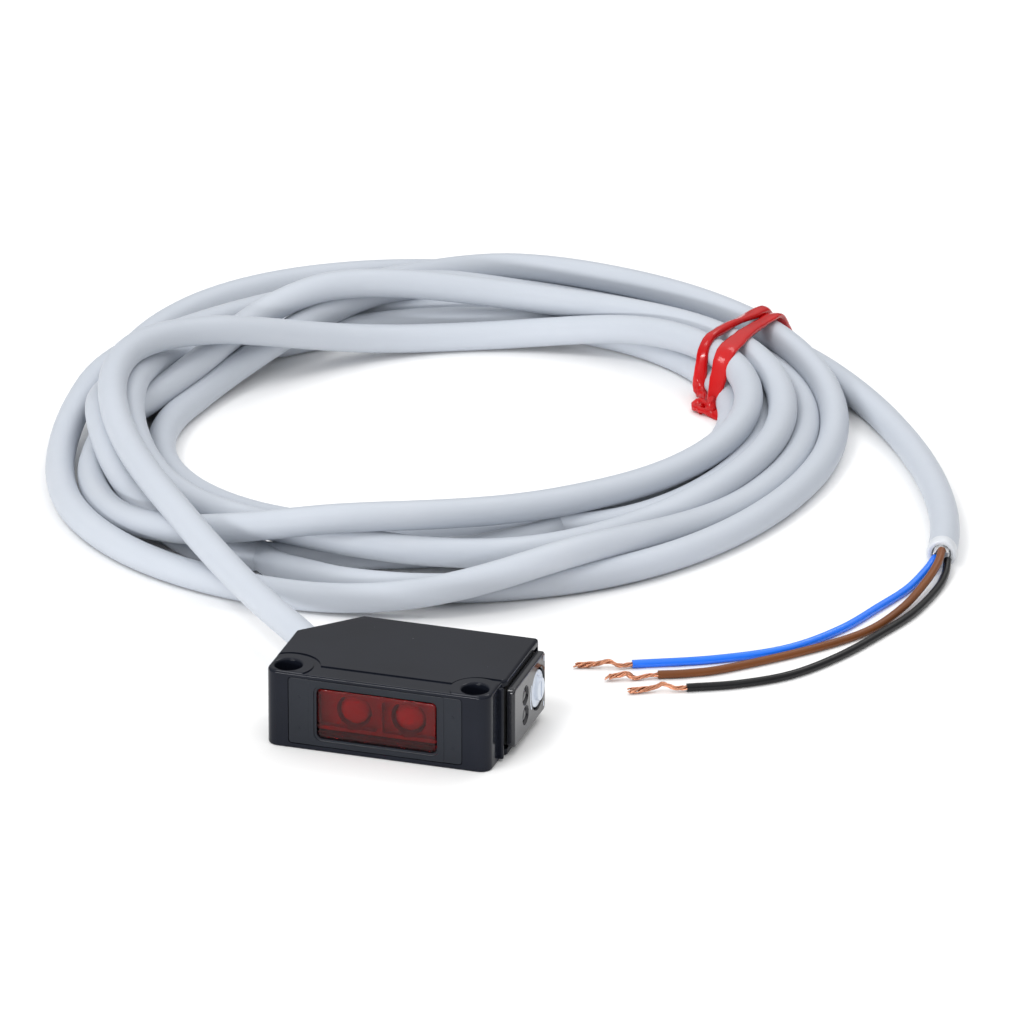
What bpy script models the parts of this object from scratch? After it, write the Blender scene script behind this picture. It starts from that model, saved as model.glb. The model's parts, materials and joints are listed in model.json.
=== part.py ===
"""Compact photoelectric sensor on a coiled three-core cable.

The sensor lies on its side: X runs along its 31 mm case towards the adjuster end, the lens
face looks to -Y and Z is the 10.8 mm thickness. The origin is at the middle of the body's
base. Sizes are in millimetres and are turned into metres where the meshes are made.
"""
import math

import bmesh
import bpy
from mathutils import Matrix, Vector

MM = 0.001
GAP = 0.3                     # clearance between touching pieces

# Case
OVERALL = 32.6                # left end to the face of the adjuster
CASE_LENGTH = 31.0
DEPTH = 20.0                  # lens face to back
HEIGHT = 10.8
MID = HEIGHT / 2
WALL = 1.2
CHAMFER = 7.0                 # corner that the cable comes out of
CORNER = 1.6                  # radius of the two front corners
EDGE = 0.4                    # radius of the other upright edges
LEFT = -OVERALL / 2
RIGHT = LEFT + CASE_LENGTH
FRONT = -DEPTH / 2
BACK = DEPTH / 2

# Mounting holes for M3 screws
HOLE_PITCH = 25.4
HOLE_RADIUS = 1.75
HOLE_X = (LEFT + 2.5, LEFT + 2.5 + HOLE_PITCH)
HOLE_Y = FRONT + 2.3

# Optics
WINDOW_X = -1.1               # middle of the window
WINDOW_WIDTH = 16.6
WINDOW_HEIGHT = 7.4
LENS_SPACING = 7.4
LENS_RADIUS = 2.1
LENS_X = {"emitter": WINDOW_X - LENS_SPACING / 2, "receiver": WINDOW_X + LENS_SPACING / 2}
COVER_LEFT = -11.8
COVER_RIGHT = 9.4
COVER_BACK = FRONT + 1.1
COVER_RAIL = 0.8              # case wall above and below the cover
GASKET_SEAT = FRONT + 2.2
GASKET_INSET = 0.2            # step between the cover's seat and the gasket's
GASKET_RAIL = 1.0
GASKET = ((-11.3, 1.3), (8.9, 9.5))
GASKET_HOLE = ((-10.3, 2.3), (7.9, 8.5))
LIGHT_WAY = ((-10.1, 2.4), (7.9, 8.4))
LIGHT_WAY_BACK = -4.0
FRAME = ((-9.8, 2.7), (7.6, 8.1))
FRAME_FRONT = -8.5
FRAME_BACK = -4.4
CHAMBER_LEFT = -9.3
CHAMBER_RIGHT = 7.1
CHAMBER_Z = (3.2, 7.6)
CHAMBER_BACK = -7.6
DIVIDER = 0.7                 # wall between the two chambers
LENS_BACK = -6.2
LENS_SHOULDER = -7.0
LENS_CROWN = 0.8
LENS_STEPS = 6
SHIELD_OUTER = 1.7
SHIELD_INNER = 1.3
SHIELD_Y = (-4.1, -2.9)

# Inside of the case
POCKET_LEFT = -11.0           # light compartment behind the lens face
POCKET_RIGHT = 8.9
POCKET_FRONT = FRONT + 3.0
POCKET_BACK = -4.6
END_WALL = 1.3
INNER_CORNER = 0.2
OVERCUT = 1.0                 # how far cutters run past a face

# Adjuster end
PANEL_FACE = RIGHT + 1.15
PANEL_BACK = RIGHT + 0.1
PANEL_SEAT = RIGHT - 0.8
PANEL_Y = (-4.2, 9.2)
PANEL_Z = (1.2, 9.6)
ADJUSTER_Y = 6.0
ADJUSTER_RADIUS = 2.5
BOSS_RADIUS = 1.6
STEM_RADIUS = 0.7
STEM_LENGTH = 1.1
KNOB_EDGE = 0.15
FLANGE_DEPTH = 0.1            # flange face below the panel's
SLOT_WIDTH = 0.5
SLOT_DEPTH = 0.45
SEAL_RADIUS = 1.4
SEAL_SECTION = 0.4
PANEL_WAY = ((-3.4, 2.2), (8.4, 8.6))
END_GASKET = ((-4.0, 1.4), (9.0, 9.4))
END_GASKET_HOLE = ((-3.2, 2.4), (8.2, 8.4))
END_GASKET_X = (RIGHT - 0.5, RIGHT - 0.2)
INDICATOR_Y = 0.55
INDICATOR_Z = {"upper": 6.8, "lower": 4.0}
GUIDE_RADIUS = 0.8
GUIDE_BACK = 12.4
GUIDE_TIP = PANEL_FACE - 0.1

# Cable
CABLE_DIAMETER = 4.0
CABLE_RADIUS = CABLE_DIAMETER / 2
CORE_DIAMETER = 1.1
COPPER_DIAMETER = 0.6
CORE_LIE = CORE_DIAMETER / 2 + 0.02
EXIT = Vector((LEFT + CHAMFER / 2, BACK - CHAMFER / 2, MID))
OUTWARD = Vector((-1, 1, 0)).normalized()
INNER_CABLE = 3.4             # cable inside the case
BUSH_RADIUS = 2.9
CRIMP_RADIUS = 3.1
CRIMP = (WALL + 0.4, WALL + 1.6)
INNER_SPREAD = 1.3            # between the inner cores where they leave the cable
INNER_BEND = (0.9, 2.0, 1.5)  # step in X, place in Y and spread in Z at their bend
INNER_END = (-9.3, -1.5, 2.0)
LEAD_LENGTH = 20.8            # cable from the case to the coil

# Electronics: low corner, high corner, finish and bevel of each block
BLOCKS = {
    "emitter_led": ((LENS_X["emitter"] - 0.8, -4.1, MID - 0.8), (LENS_X["emitter"] + 0.8, -2.9, MID + 0.8),
                    "led_white", 0.15),
    "receiver_chip": ((LENS_X["receiver"] - 1.0, -3.6, MID - 1.0),
                      (LENS_X["receiver"] + 1.0, -2.9, MID + 1.0), "chip_black", 0.1),
    "main_board": ((-10.4, -2.6, 1.8), (8.3, -1.8, 9.2), "board_green", 0.0),
    "control_chip": ((-8.2, -1.5, 3.4), (-4.2, -0.7, 7.4), "chip_black", 0.15),
    "output_transistor": ((-2.4, -1.5, 4.0), (-0.6, -0.6, 6.8), "chip_black", 0.15),
    "supply_capacitor": ((1.2, -1.5, 4.6), (2.8, -0.3, 6.2), "led_white", 0.1),
    "indicator_board": ((10.6, -2.2, 1.8), (11.2, 8.2, 9.2), "board_green", 0.0),
    "indicator_led_upper": ((11.5, INDICATOR_Y - 0.6, INDICATOR_Z["upper"] - 0.5),
                            (12.1, INDICATOR_Y + 0.6, INDICATOR_Z["upper"] + 0.5), "led_white", 0.1),
    "indicator_led_lower": ((11.5, INDICATOR_Y - 0.6, INDICATOR_Z["lower"] - 0.5),
                            (12.1, INDICATOR_Y + 0.6, INDICATOR_Z["lower"] + 0.5), "led_white", 0.1),
    "trimmer_body": ((11.5, 4.2, 3.6), (13.3, 7.8, 7.2), "chip_black", 0.2),
}

# Coil of cable beside the sensor
COIL_CENTRE = (-22.0, 87.0)
COIL_OUTER = 56.0
COIL_INNER = 28.0
COIL_STRETCH = 64.0 / 56.0    # the coil is longer from front to back
COIL_HEIGHT = 10.5
TIE_TURN = math.radians(40)   # where the tie goes round the coil
TIE_WIDTH = 2.4
TIE_THICKNESS = 1.5
TIE_DEPTH = TIE_THICKNESS + GAP

# Routes outside the coil, each hand-laid
TAIL_ROUTE = (
    (32.0, 112.6, 2.0), (35.4, 108.2, 2.0), (38.8, 103.0, 2.0),
    (43.2, 95.4, 2.0), (47.4, 87.0, 2.0), (50.2, 79.6, 2.0), (51.6, 74.0, 2.0), (52.2, 70.6, 2.0),
)
CORE_ROUTES = {
    "blue": (
        (51.5, 70.2, 1.5), (51.1, 66.8, 1.0), (50.1, 61.2, CORE_LIE), (48.2, 54.8, CORE_LIE),
        (45.2, 46.0, CORE_LIE), (40.2, 38.0, CORE_LIE), (32.2, 32.0, CORE_LIE), (22.2, 27.2, CORE_LIE),
    ),
    "brown": (
        (52.4, 70.2, 2.8), (52.7, 67.0, 2.2), (52.4, 61.8, 1.5), (51.4, 54.0, 1.0),
        (48.7, 46.4, CORE_LIE), (43.0, 38.4, CORE_LIE), (34.4, 29.6, CORE_LIE),
        (30.0, 26.6, CORE_LIE), (26.4, 25.0, CORE_LIE),
    ),
    "black": (
        (53.2, 70.2, 1.4), (53.8, 66.8, 0.8), (53.9, 62.0, CORE_LIE), (53.0, 54.0, CORE_LIE),
        (50.8, 46.6, CORE_LIE), (47.6, 38.0, CORE_LIE), (43.2, 30.4, CORE_LIE),
        (37.4, 25.4, CORE_LIE), (31.2, 22.2, CORE_LIE),
    ),
}
COPPER_ENDS = {
    "blue": ((21.8, 27.0, 0.5), (18.6, 25.8, 0.6), (15.2, 25.0, 0.4)),
    "brown": ((26.0, 24.8, 0.5), (23.2, 23.4, 0.6), (20.2, 22.2, 0.4)),
    "black": ((30.8, 22.0, 0.5), (27.6, 20.4, 0.6), (24.2, 19.2, 0.4)),
}

# Fineness of the round shapes
ROUND_STEPS = 24
RING_STEPS = 64
CORNER_STEPS = 4
ROUTE_STEPS = 16
MERGE = 1e-6

PLANES = {
    "XY": Matrix.Identity(3),
    "XZ": Matrix(((1, 0, 0), (0, 0, -1), (0, 1, 0))),
    "YZ": Matrix(((0, 0, 1), (1, 0, 0), (0, 1, 0))),
}
NORMAL_AXIS = {"XY": 2, "XZ": 1, "YZ": 0}

COLOURS = {
    "case_black": ((0.018, 0.019, 0.022), 0.28, 0.0),
    "cover_smoke": ((0.022, 0.024, 0.028), 0.15, 0.0),
    "filter_red": ((0.22, 0.012, 0.018), 0.12, 0.0),
    "gasket_rubber": ((0.03, 0.03, 0.03), 0.7, 0.0),
    "frame_red_black": ((0.09, 0.012, 0.014), 0.45, 0.0),
    "lens_clear": ((0.75, 0.2, 0.2), 0.05, 0.0),
    "board_green": ((0.02, 0.14, 0.06), 0.4, 0.0),
    "chip_black": ((0.03, 0.03, 0.032), 0.5, 0.0),
    "led_white": ((0.8, 0.75, 0.6), 0.3, 0.0),
    "shield_tin": ((0.62, 0.62, 0.6), 0.35, 1.0),
    "panel_smoke": ((0.05, 0.05, 0.06), 0.12, 0.0),
    "knob_white": ((0.72, 0.76, 0.84), 0.35, 0.0),
    "cable_grey": ((0.66, 0.69, 0.73), 0.5, 0.0),
    "core_blue": ((0.01, 0.13, 0.75), 0.35, 0.0),
    "core_brown": ((0.14, 0.05, 0.025), 0.4, 0.0),
    "core_black": ((0.012, 0.012, 0.013), 0.4, 0.0),
    "copper": ((0.75, 0.33, 0.17), 0.3, 1.0),
    "tie_red": ((0.7, 0.01, 0.03), 0.25, 0.0),
}


def clear_scene():
    """Remove the objects of the start-up scene."""
    for thing in list(bpy.data.objects):
        bpy.data.objects.remove(thing, do_unlink=True)


def make_collection(name):
    """A collection of its own under the scene."""
    collection = bpy.data.collections.new(name)
    bpy.context.scene.collection.children.link(collection)
    return collection


def make_material(name):
    """Principled material in the piece's own colour."""
    colour, roughness, metallic = COLOURS[name]
    material = bpy.data.materials.new(name)
    material.use_nodes = True
    shader = material.node_tree.nodes["Principled BSDF"]
    shader.inputs["Base Color"].default_value = (*colour, 1.0)
    shader.inputs["Roughness"].default_value = roughness
    shader.inputs["Metallic"].default_value = metallic
    return material


def add_object(name, data, finish):
    """Link new data as a piece, or as a cutter where it has no finish."""
    thing = bpy.data.objects.new(name, data)
    if finish is None:
        CUTTERS.objects.link(thing)
        thing.hide_render = True
        thing.display_type = "WIRE"
    else:
        SENSOR.objects.link(thing)
        data.materials.append(MATERIALS[finish])
    return thing


def rounded(corners, radii):
    """Outline through the corners, each turned with its own radius."""
    outline = []
    count = len(corners)
    for index, corner in enumerate(corners):
        here = Vector(corner)
        before = (Vector(corners[index - 1]) - here).normalized()
        after = (Vector(corners[(index + 1) % count]) - here).normalized()
        half = before.angle(after) / 2
        radius = radii[index]
        centre = here + (before + after).normalized() * (radius / math.sin(half))
        start = here + before * (radius / math.tan(half)) - centre
        end = here + after * (radius / math.tan(half)) - centre
        first = math.atan2(start.y, start.x)
        turn = (math.atan2(end.y, end.x) - first + math.pi) % math.tau - math.pi
        for step in range(CORNER_STEPS + 1):
            angle = first + turn * step / CORNER_STEPS
            outline.append((centre.x + radius * math.cos(angle), centre.y + radius * math.sin(angle)))
    return outline


def rectangle(low, high, radius):
    """Rectangle with four round corners."""
    corners = ((low[0], low[1]), (high[0], low[1]), (high[0], high[1]), (low[0], high[1]))
    return rounded(corners, (radius,) * len(corners))


def circle(centre, radius):
    """Round outline."""
    turns = [math.tau * step / ROUND_STEPS for step in range(ROUND_STEPS)]
    return [(centre[0] + radius * math.cos(turn), centre[1] + radius * math.sin(turn)) for turn in turns]


def box(name, low, high, finish=None, bevel=0.0):
    """Block between two corners."""
    low = Vector(low)
    high = Vector(high)
    mesh = bpy.data.meshes.new(name)
    shape = bmesh.new()
    bmesh.ops.create_cube(shape, size=1)
    bmesh.ops.scale(shape, vec=(high - low) * MM, verts=shape.verts)
    shape.to_mesh(mesh)
    shape.free()
    block = add_object(name, mesh, finish)
    block.location = (low + high) / 2 * MM
    if bevel:
        edge = block.modifiers.new("edges", "BEVEL")
        edge.width = bevel * MM
        edge.segments = 2
    return block


def plate(name, outline, low, high, plane="XY", finish=None, holes=()):
    """Flat piece cut from an outline, between two heights along its plane's normal."""
    curve = bpy.data.curves.new(name, "CURVE")
    curve.dimensions = "2D"
    curve.fill_mode = "BOTH"
    curve.extrude = (high - low) / 2 * MM
    for loop in (outline, *holes):
        spline = curve.splines.new("POLY")
        spline.points.add(len(loop) - 1)
        spline.use_cyclic_u = True
        for point, (u, v) in zip(spline.points, loop):
            point.co = (u * MM, v * MM, 0, 1)
    sketch = bpy.data.objects.new(name + "_sketch", curve)
    CUTTERS.objects.link(sketch)
    bpy.context.view_layer.update()
    evaluated = sketch.evaluated_get(bpy.context.evaluated_depsgraph_get())
    mesh = bpy.data.meshes.new_from_object(evaluated)
    bpy.data.objects.remove(sketch, do_unlink=True)
    shape = bmesh.new()
    shape.from_mesh(mesh)
    bmesh.ops.remove_doubles(shape, verts=shape.verts, dist=MERGE)
    bmesh.ops.recalc_face_normals(shape, faces=shape.faces)
    shape.to_mesh(mesh)
    shape.free()
    mesh.name = name
    piece = add_object(name, mesh, finish)
    piece.rotation_euler = PLANES[plane].to_euler()
    piece.location[NORMAL_AXIS[plane]] = (low + high) / 2 * MM
    return piece


def turned(name, profile, place, axis, finish=None, closed=False, steps=ROUND_STEPS):
    """Turned piece: the profile's points are radius and height, its outer side top to bottom."""
    mesh = bpy.data.meshes.new(name)
    shape = bmesh.new()
    points = [shape.verts.new((radius * MM, 0, height * MM)) for radius, height in profile]
    for first, second in zip(points, points[1:]):
        shape.edges.new((first, second))
    if closed:
        shape.edges.new((points[-1], points[0]))
    shape.to_mesh(mesh)
    shape.free()
    piece = add_object(name, mesh, finish)
    screw = piece.modifiers.new("turn", "SCREW")
    screw.steps = steps
    screw.render_steps = steps
    screw.use_merge_vertices = True
    screw.merge_threshold = MERGE
    screw.use_smooth_shade = False
    piece.rotation_euler = Vector(axis).to_track_quat("Z", "Y").to_euler()
    piece.location = Vector(place) * MM
    return piece


def smooth_route(route, spacing):
    """Even points along a smooth curve through the route's own points."""
    knots = [Vector(point) for point in route]
    knots.insert(0, 2 * knots[0] - knots[1])
    knots.append(2 * knots[-1] - knots[-2])
    dense = []
    for a, b, c, d in zip(knots, knots[1:], knots[2:], knots[3:]):
        for step in range(ROUTE_STEPS):
            t = step / ROUTE_STEPS
            bend = (2 * a - 5 * b + 4 * c - d) * t**2 + (3 * b - a - 3 * c + d) * t**3
            dense.append((2 * b + (c - a) * t + bend) / 2)
    dense.append(knots[-2])
    lengths = [0.0]
    for first, second in zip(dense, dense[1:]):
        lengths.append(lengths[-1] + (second - first).length)
    count = max(2, round(lengths[-1] / spacing))
    even = []
    at = 0
    for step in range(count + 1):
        wanted = lengths[-1] * step / count
        while at < len(dense) - 2 and lengths[at + 1] < wanted:
            at += 1
        share = (wanted - lengths[at]) / (lengths[at + 1] - lengths[at])
        even.append(dense[at].lerp(dense[at + 1], share))
    return even


def tube(name, points, diameter, finish):
    """Round cord along points, with flat ends."""
    curve = bpy.data.curves.new(name, "CURVE")
    curve.dimensions = "3D"
    curve.bevel_depth = diameter / 2 * MM
    curve.bevel_resolution = 2
    curve.use_fill_caps = True
    spline = curve.splines.new("POLY")
    spline.points.add(len(points) - 1)
    for target, point in zip(spline.points, points):
        target.co = (*(Vector(point) * MM), 1)
    return add_object(name, curve, finish)


def cut(piece, *cutters):
    """Take each cutter out of the piece."""
    for cutter in cutters:
        boolean = piece.modifiers.new(cutter.name, "BOOLEAN")
        boolean.operation = "DIFFERENCE"
        boolean.solver = "EXACT"
        boolean.object = cutter


def cavity_outline(inset):
    """Inside of the case from above, drawn in from its walls by the inset."""
    slant = WALL * math.sqrt(2) + inset * (math.sqrt(2) - 1)
    left = LEFT + WALL + inset
    back = BACK - WALL - inset
    corners = (
        (POCKET_LEFT + inset, POCKET_FRONT + inset),
        (POCKET_RIGHT - inset, POCKET_FRONT + inset),
        (POCKET_RIGHT - inset, POCKET_BACK + inset),
        (RIGHT - END_WALL - inset, POCKET_BACK + inset),
        (RIGHT - END_WALL - inset, back),
        (LEFT + CHAMFER - WALL - inset + slant, back),
        (left, BACK - CHAMFER + WALL + inset - slant),
        (left, POCKET_BACK + inset),
        (POCKET_LEFT + inset, POCKET_BACK + inset),
    )
    return rounded(corners, (INNER_CORNER,) * len(corners))


def build_case():
    """Housing with its bosses, openings and mounting holes, and the cover that closes it."""
    outline = rounded(
        ((LEFT, FRONT), (RIGHT, FRONT), (RIGHT, BACK), (LEFT + CHAMFER, BACK), (LEFT, BACK - CHAMFER)),
        (CORNER, CORNER, EDGE, EDGE, EDGE),
    )
    housing = plate("housing", outline, 0, HEIGHT, "XY", "case_black")
    cavity = plate("cavity_cutter", cavity_outline(0), -OVERCUT, HEIGHT - WALL)
    cover_seat = plate(
        "cover_seat_cutter",
        rectangle((COVER_LEFT - GAP, COVER_RAIL), (COVER_RIGHT + GAP, HEIGHT - COVER_RAIL), 0.6),
        FRONT - OVERCUT, COVER_BACK + GAP, "XZ",
    )
    gasket_seat = plate(
        "gasket_seat_cutter",
        rectangle((COVER_LEFT + GASKET_INSET, GASKET_RAIL),
                  (COVER_RIGHT - GASKET_INSET, HEIGHT - GASKET_RAIL), 0.6),
        FRONT - 1.5 * OVERCUT, GASKET_SEAT, "XZ",
    )
    light_way = plate(
        "light_way_cutter", rectangle(*LIGHT_WAY, 0.4), FRONT - 2 * OVERCUT, LIGHT_WAY_BACK, "XZ"
    )
    panel_seat = plate(
        "panel_seat_cutter",
        rectangle((PANEL_Y[0] - GAP, PANEL_Z[0] - GAP), (PANEL_Y[1] + GAP, PANEL_Z[1] + GAP), 0.6),
        PANEL_SEAT, RIGHT + OVERCUT, "YZ",
    )
    panel_way = plate(
        "panel_way_cutter", rectangle(*PANEL_WAY, 0.6), RIGHT - 2 * OVERCUT, RIGHT + 2 * OVERCUT, "YZ"
    )
    bush_seat = BUSH_RADIUS + GAP
    deep = -WALL - OVERCUT
    cable_way = turned(
        "cable_way_cutter", ((0, OVERCUT), (bush_seat, OVERCUT), (bush_seat, deep), (0, deep)), EXIT, OUTWARD
    )
    cut(housing, cavity, cover_seat, gasket_seat, light_way, panel_seat, panel_way, cable_way)
    for side, x in zip(("left", "right"), HOLE_X):
        top = HEIGHT + OVERCUT
        profile = ((0, top), (HOLE_RADIUS, top), (HOLE_RADIUS, -OVERCUT), (0, -OVERCUT))
        cut(housing, turned(side + "_hole_cutter", profile, (x, HOLE_Y, 0), (0, 0, 1)))
    plate("side_cover", cavity_outline(GAP), 0, WALL, "XY", "case_black")


def build_front():
    """Lens cover, its red window and the gasket behind it."""
    half = Vector((WINDOW_WIDTH / 2, WINDOW_HEIGHT / 2))
    middle = Vector((WINDOW_X, MID))
    plate(
        "lens_cover",
        rectangle((COVER_LEFT, COVER_RAIL + GAP), (COVER_RIGHT, HEIGHT - COVER_RAIL - GAP), 0.5),
        FRONT, COVER_BACK, "XZ", "cover_smoke",
        holes=(rectangle(middle - half, middle + half, 0.8),),
    )
    inset = Vector((GAP, GAP))
    plate(
        "window_filter", rectangle(middle - half + inset, middle + half - inset, 0.6),
        FRONT + 0.1, COVER_BACK - 0.2, "XZ", "filter_red",
    )
    plate(
        "cover_gasket", rectangle(*GASKET, 0.5), COVER_BACK + GAP, GASKET_SEAT - GAP,
        "XZ", "gasket_rubber", holes=(rectangle(*GASKET_HOLE, 0.4),),
    )


def build_optics():
    """Lens frame with two chambers, the lenses, and the receiver's shield."""
    frame = plate("lens_frame", rectangle(*FRAME, 0.4), FRAME_FRONT, FRAME_BACK, "XZ", "frame_red_black")
    for side, low, high in (
        ("left", CHAMBER_LEFT, WINDOW_X - DIVIDER / 2),
        ("right", WINDOW_X + DIVIDER / 2, CHAMBER_RIGHT),
    ):
        chamber = rectangle((low, CHAMBER_Z[0]), (high, CHAMBER_Z[1]), 0.3)
        cut(frame, plate(side + "_chamber_cutter", chamber, FRAME_FRONT - OVERCUT, CHAMBER_BACK, "XZ"))
    bore = LENS_RADIUS + GAP
    near = -FRAME_BACK - OVERCUT
    far = -FRAME_FRONT + OVERCUT
    for role, x in LENS_X.items():
        bore_cutter = turned(
            role + "_bore_cutter", ((0, far), (bore, far), (bore, near), (0, near)), (x, 0, MID), (0, -1, 0)
        )
        cut(frame, bore_cutter)
        crown = []
        for step in range(LENS_STEPS + 1):
            angle = math.pi / 2 * step / LENS_STEPS
            crown.append((LENS_RADIUS * math.sin(angle), -LENS_SHOULDER + LENS_CROWN * math.cos(angle)))
        profile = (*crown, (LENS_RADIUS, -LENS_BACK), (0, -LENS_BACK))
        turned(role + "_lens", profile, (x, 0, MID), (0, -1, 0), "lens_clear")
    middle = Vector((LENS_X["receiver"], MID))
    outer = Vector((SHIELD_OUTER, SHIELD_OUTER))
    inner = Vector((SHIELD_INNER, SHIELD_INNER))
    plate(
        "receiver_shield", rectangle(middle - outer, middle + outer, 0.2), *SHIELD_Y, "XZ", "shield_tin",
        holes=(rectangle(middle - inner, middle + inner, 0.1),),
    )


def build_electronics():
    """Boards with their parts, and the light guides of the two indicators."""
    for name, (low, high, finish, bevel) in BLOCKS.items():
        box(name, low, high, finish, bevel)
    for level, z in INDICATOR_Z.items():
        profile = (
            (0, GUIDE_TIP), (GUIDE_RADIUS - 0.3, GUIDE_TIP - 0.05), (GUIDE_RADIUS, GUIDE_TIP - 0.3),
            (GUIDE_RADIUS, GUIDE_BACK), (0, GUIDE_BACK),
        )
        turned("light_guide_" + level, profile, (0, INDICATOR_Y, z), (1, 0, 0), "panel_smoke")


def build_adjuster_end():
    """End panel with its gasket, and the turning adjuster with its seal."""
    plate(
        "end_panel", rectangle((PANEL_Y[0], PANEL_Z[0]), (PANEL_Y[1], PANEL_Z[1]), 0.8),
        PANEL_BACK, PANEL_FACE, "YZ", "panel_smoke",
        holes=(
            circle((ADJUSTER_Y, MID), ADJUSTER_RADIUS + GAP),
            circle((INDICATOR_Y, INDICATOR_Z["upper"]), 1.1),
            circle((INDICATOR_Y, INDICATOR_Z["lower"]), 1.1),
        ),
    )
    plate(
        "end_gasket", rectangle(*END_GASKET, 0.6), *END_GASKET_X, "YZ", "gasket_rubber",
        holes=(rectangle(*END_GASKET_HOLE, 0.5),),
    )
    face = OVERALL / 2
    base = Vector((PANEL_BACK, ADJUSTER_Y, MID))
    rise = face - PANEL_BACK
    flange = PANEL_FACE - PANEL_BACK - FLANGE_DEPTH
    profile = (
        (0, rise), (BOSS_RADIUS - KNOB_EDGE, rise), (BOSS_RADIUS, rise - KNOB_EDGE), (BOSS_RADIUS, flange),
        (ADJUSTER_RADIUS - KNOB_EDGE, flange), (ADJUSTER_RADIUS, flange - KNOB_EDGE),
        (ADJUSTER_RADIUS, KNOB_EDGE), (STEM_RADIUS, KNOB_EDGE), (STEM_RADIUS, -STEM_LENGTH),
        (0, -STEM_LENGTH),
    )
    knob = turned("adjuster_knob", profile, base, (1, 0, 0), "knob_white")
    slot = box(
        "slot_cutter", (face - SLOT_DEPTH, ADJUSTER_Y - SLOT_WIDTH / 2, MID - BOSS_RADIUS - SLOT_DEPTH),
        (face + SLOT_DEPTH, ADJUSTER_Y + SLOT_WIDTH / 2, MID + BOSS_RADIUS + SLOT_DEPTH),
    )
    cut(knob, slot)
    section = [(SEAL_RADIUS + r, h) for r, h in reversed(circle((0, 0), SEAL_SECTION)[::2])]
    seal_x = PANEL_BACK - SEAL_SECTION - 0.05
    turned("adjuster_seal", section, (seal_x, ADJUSTER_Y, MID), (1, 0, 0), "gasket_rubber", True)


def build_cable_entry():
    """Bush in the case wall, crimp ring and the three cores that run to the main board."""
    for name, outer, near, far, finish in (
        ("cable_bush", BUSH_RADIUS, 0.0, WALL, "gasket_rubber"),
        ("cable_crimp", CRIMP_RADIUS, *CRIMP, "shield_tin"),
    ):
        bore = CABLE_RADIUS + GAP
        section = ((outer, -near), (outer, -far), (bore, -far), (bore, -near))
        turned(name, section, EXIT, OUTWARD, finish, True)
    start = EXIT - OUTWARD * (INNER_CABLE + GAP)
    for colour, level in (("blue", -1), ("brown", 0), ("black", 1)):
        route = (
            start + Vector((0, 0, level * INNER_SPREAD)),
            (start.x + INNER_BEND[0], INNER_BEND[1], MID + level * INNER_BEND[2]),
            (INNER_END[0], INNER_END[1], MID + level * INNER_END[2]),
        )
        points = smooth_route(route, 2 * CORE_DIAMETER)
        tube("inner_core_" + colour, points, CORE_DIAMETER, "core_" + colour)


def build_cable():
    """Lead to the coil, the tied coil, the tail, and its three cores with bare ends."""
    lead = (
        EXIT - OUTWARD * INNER_CABLE, EXIT, EXIT + OUTWARD * LEAD_LENGTH / 2, EXIT + OUTWARD * LEAD_LENGTH
    )
    tube("cable_lead", smooth_route(lead, 2 * CABLE_DIAMETER), CABLE_DIAMETER, "cable_grey")
    section = rounded(
        ((COIL_OUTER, COIL_HEIGHT), (COIL_OUTER, 0), (COIL_INNER, 0), (COIL_INNER, COIL_HEIGHT)), (2.0,) * 4
    )
    coil = turned("cable_coil", section, (*COIL_CENTRE, 0), (0, 0, 1), "cable_grey", True, RING_STEPS)
    coil.rotation_euler = (0, 0, 0)
    coil.scale.y = COIL_STRETCH
    tube("cable_tail", smooth_route(TAIL_ROUTE, 2 * CABLE_DIAMETER), CABLE_DIAMETER, "cable_grey")
    build_tie(coil)
    for colour, route in CORE_ROUTES.items():
        points = smooth_route(route, 2.5 * CORE_DIAMETER)
        tube("core_" + colour, points, CORE_DIAMETER, "core_" + colour)
        tube("copper_end_" + colour, smooth_route(COPPER_ENDS[colour], 1.6), COPPER_DIAMETER, "copper")


def build_tie(coil):
    """Tie round the coil, lying in a groove as deep as the turns that it draws in."""
    turn = Vector((math.cos(TIE_TURN), math.sin(TIE_TURN) * COIL_STRETCH, 0))
    outer = turn.length * COIL_OUTER
    inner = turn.length * COIL_INNER
    heading = math.atan2(turn.y, turn.x)
    groove_way = rectangle(
        (inner + TIE_DEPTH, TIE_DEPTH), (outer - TIE_DEPTH, COIL_HEIGHT - TIE_DEPTH), 1.0
    )
    groove_edge = rectangle((inner - 4, -2), (outer + 4, COIL_HEIGHT + 2), 0.5)
    groove_half = TIE_WIDTH / 2 + GAP
    groove = plate("groove_cutter", groove_edge, -groove_half, groove_half, "XZ", None, (groove_way,))
    tie_way = rectangle(
        (inner + TIE_THICKNESS, TIE_THICKNESS),
        (outer - TIE_THICKNESS, COIL_HEIGHT - TIE_THICKNESS), 0.8,
    )
    tie_edge = rectangle((inner, 0), (outer, COIL_HEIGHT), 1.5)
    tie = plate("coil_tie", tie_edge, -TIE_WIDTH / 2, TIE_WIDTH / 2, "XZ", "tie_red", (tie_way,))
    for piece in (groove, tie):
        piece.rotation_euler = (math.pi / 2, 0, heading)
        piece.location = (COIL_CENTRE[0] * MM, COIL_CENTRE[1] * MM, 0)
    cut(coil, groove)


clear_scene()
SENSOR = make_collection("photoelectric_sensor")
CUTTERS = make_collection("cutters")
MATERIALS = {name: make_material(name) for name in COLOURS}
build_case()
build_front()
build_optics()
build_electronics()
build_adjuster_end()
build_cable_entry()
build_cable()
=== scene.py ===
"""Looks of the compact photoelectric sensor and its coil of cable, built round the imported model."""

import json
import math
import random

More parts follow.
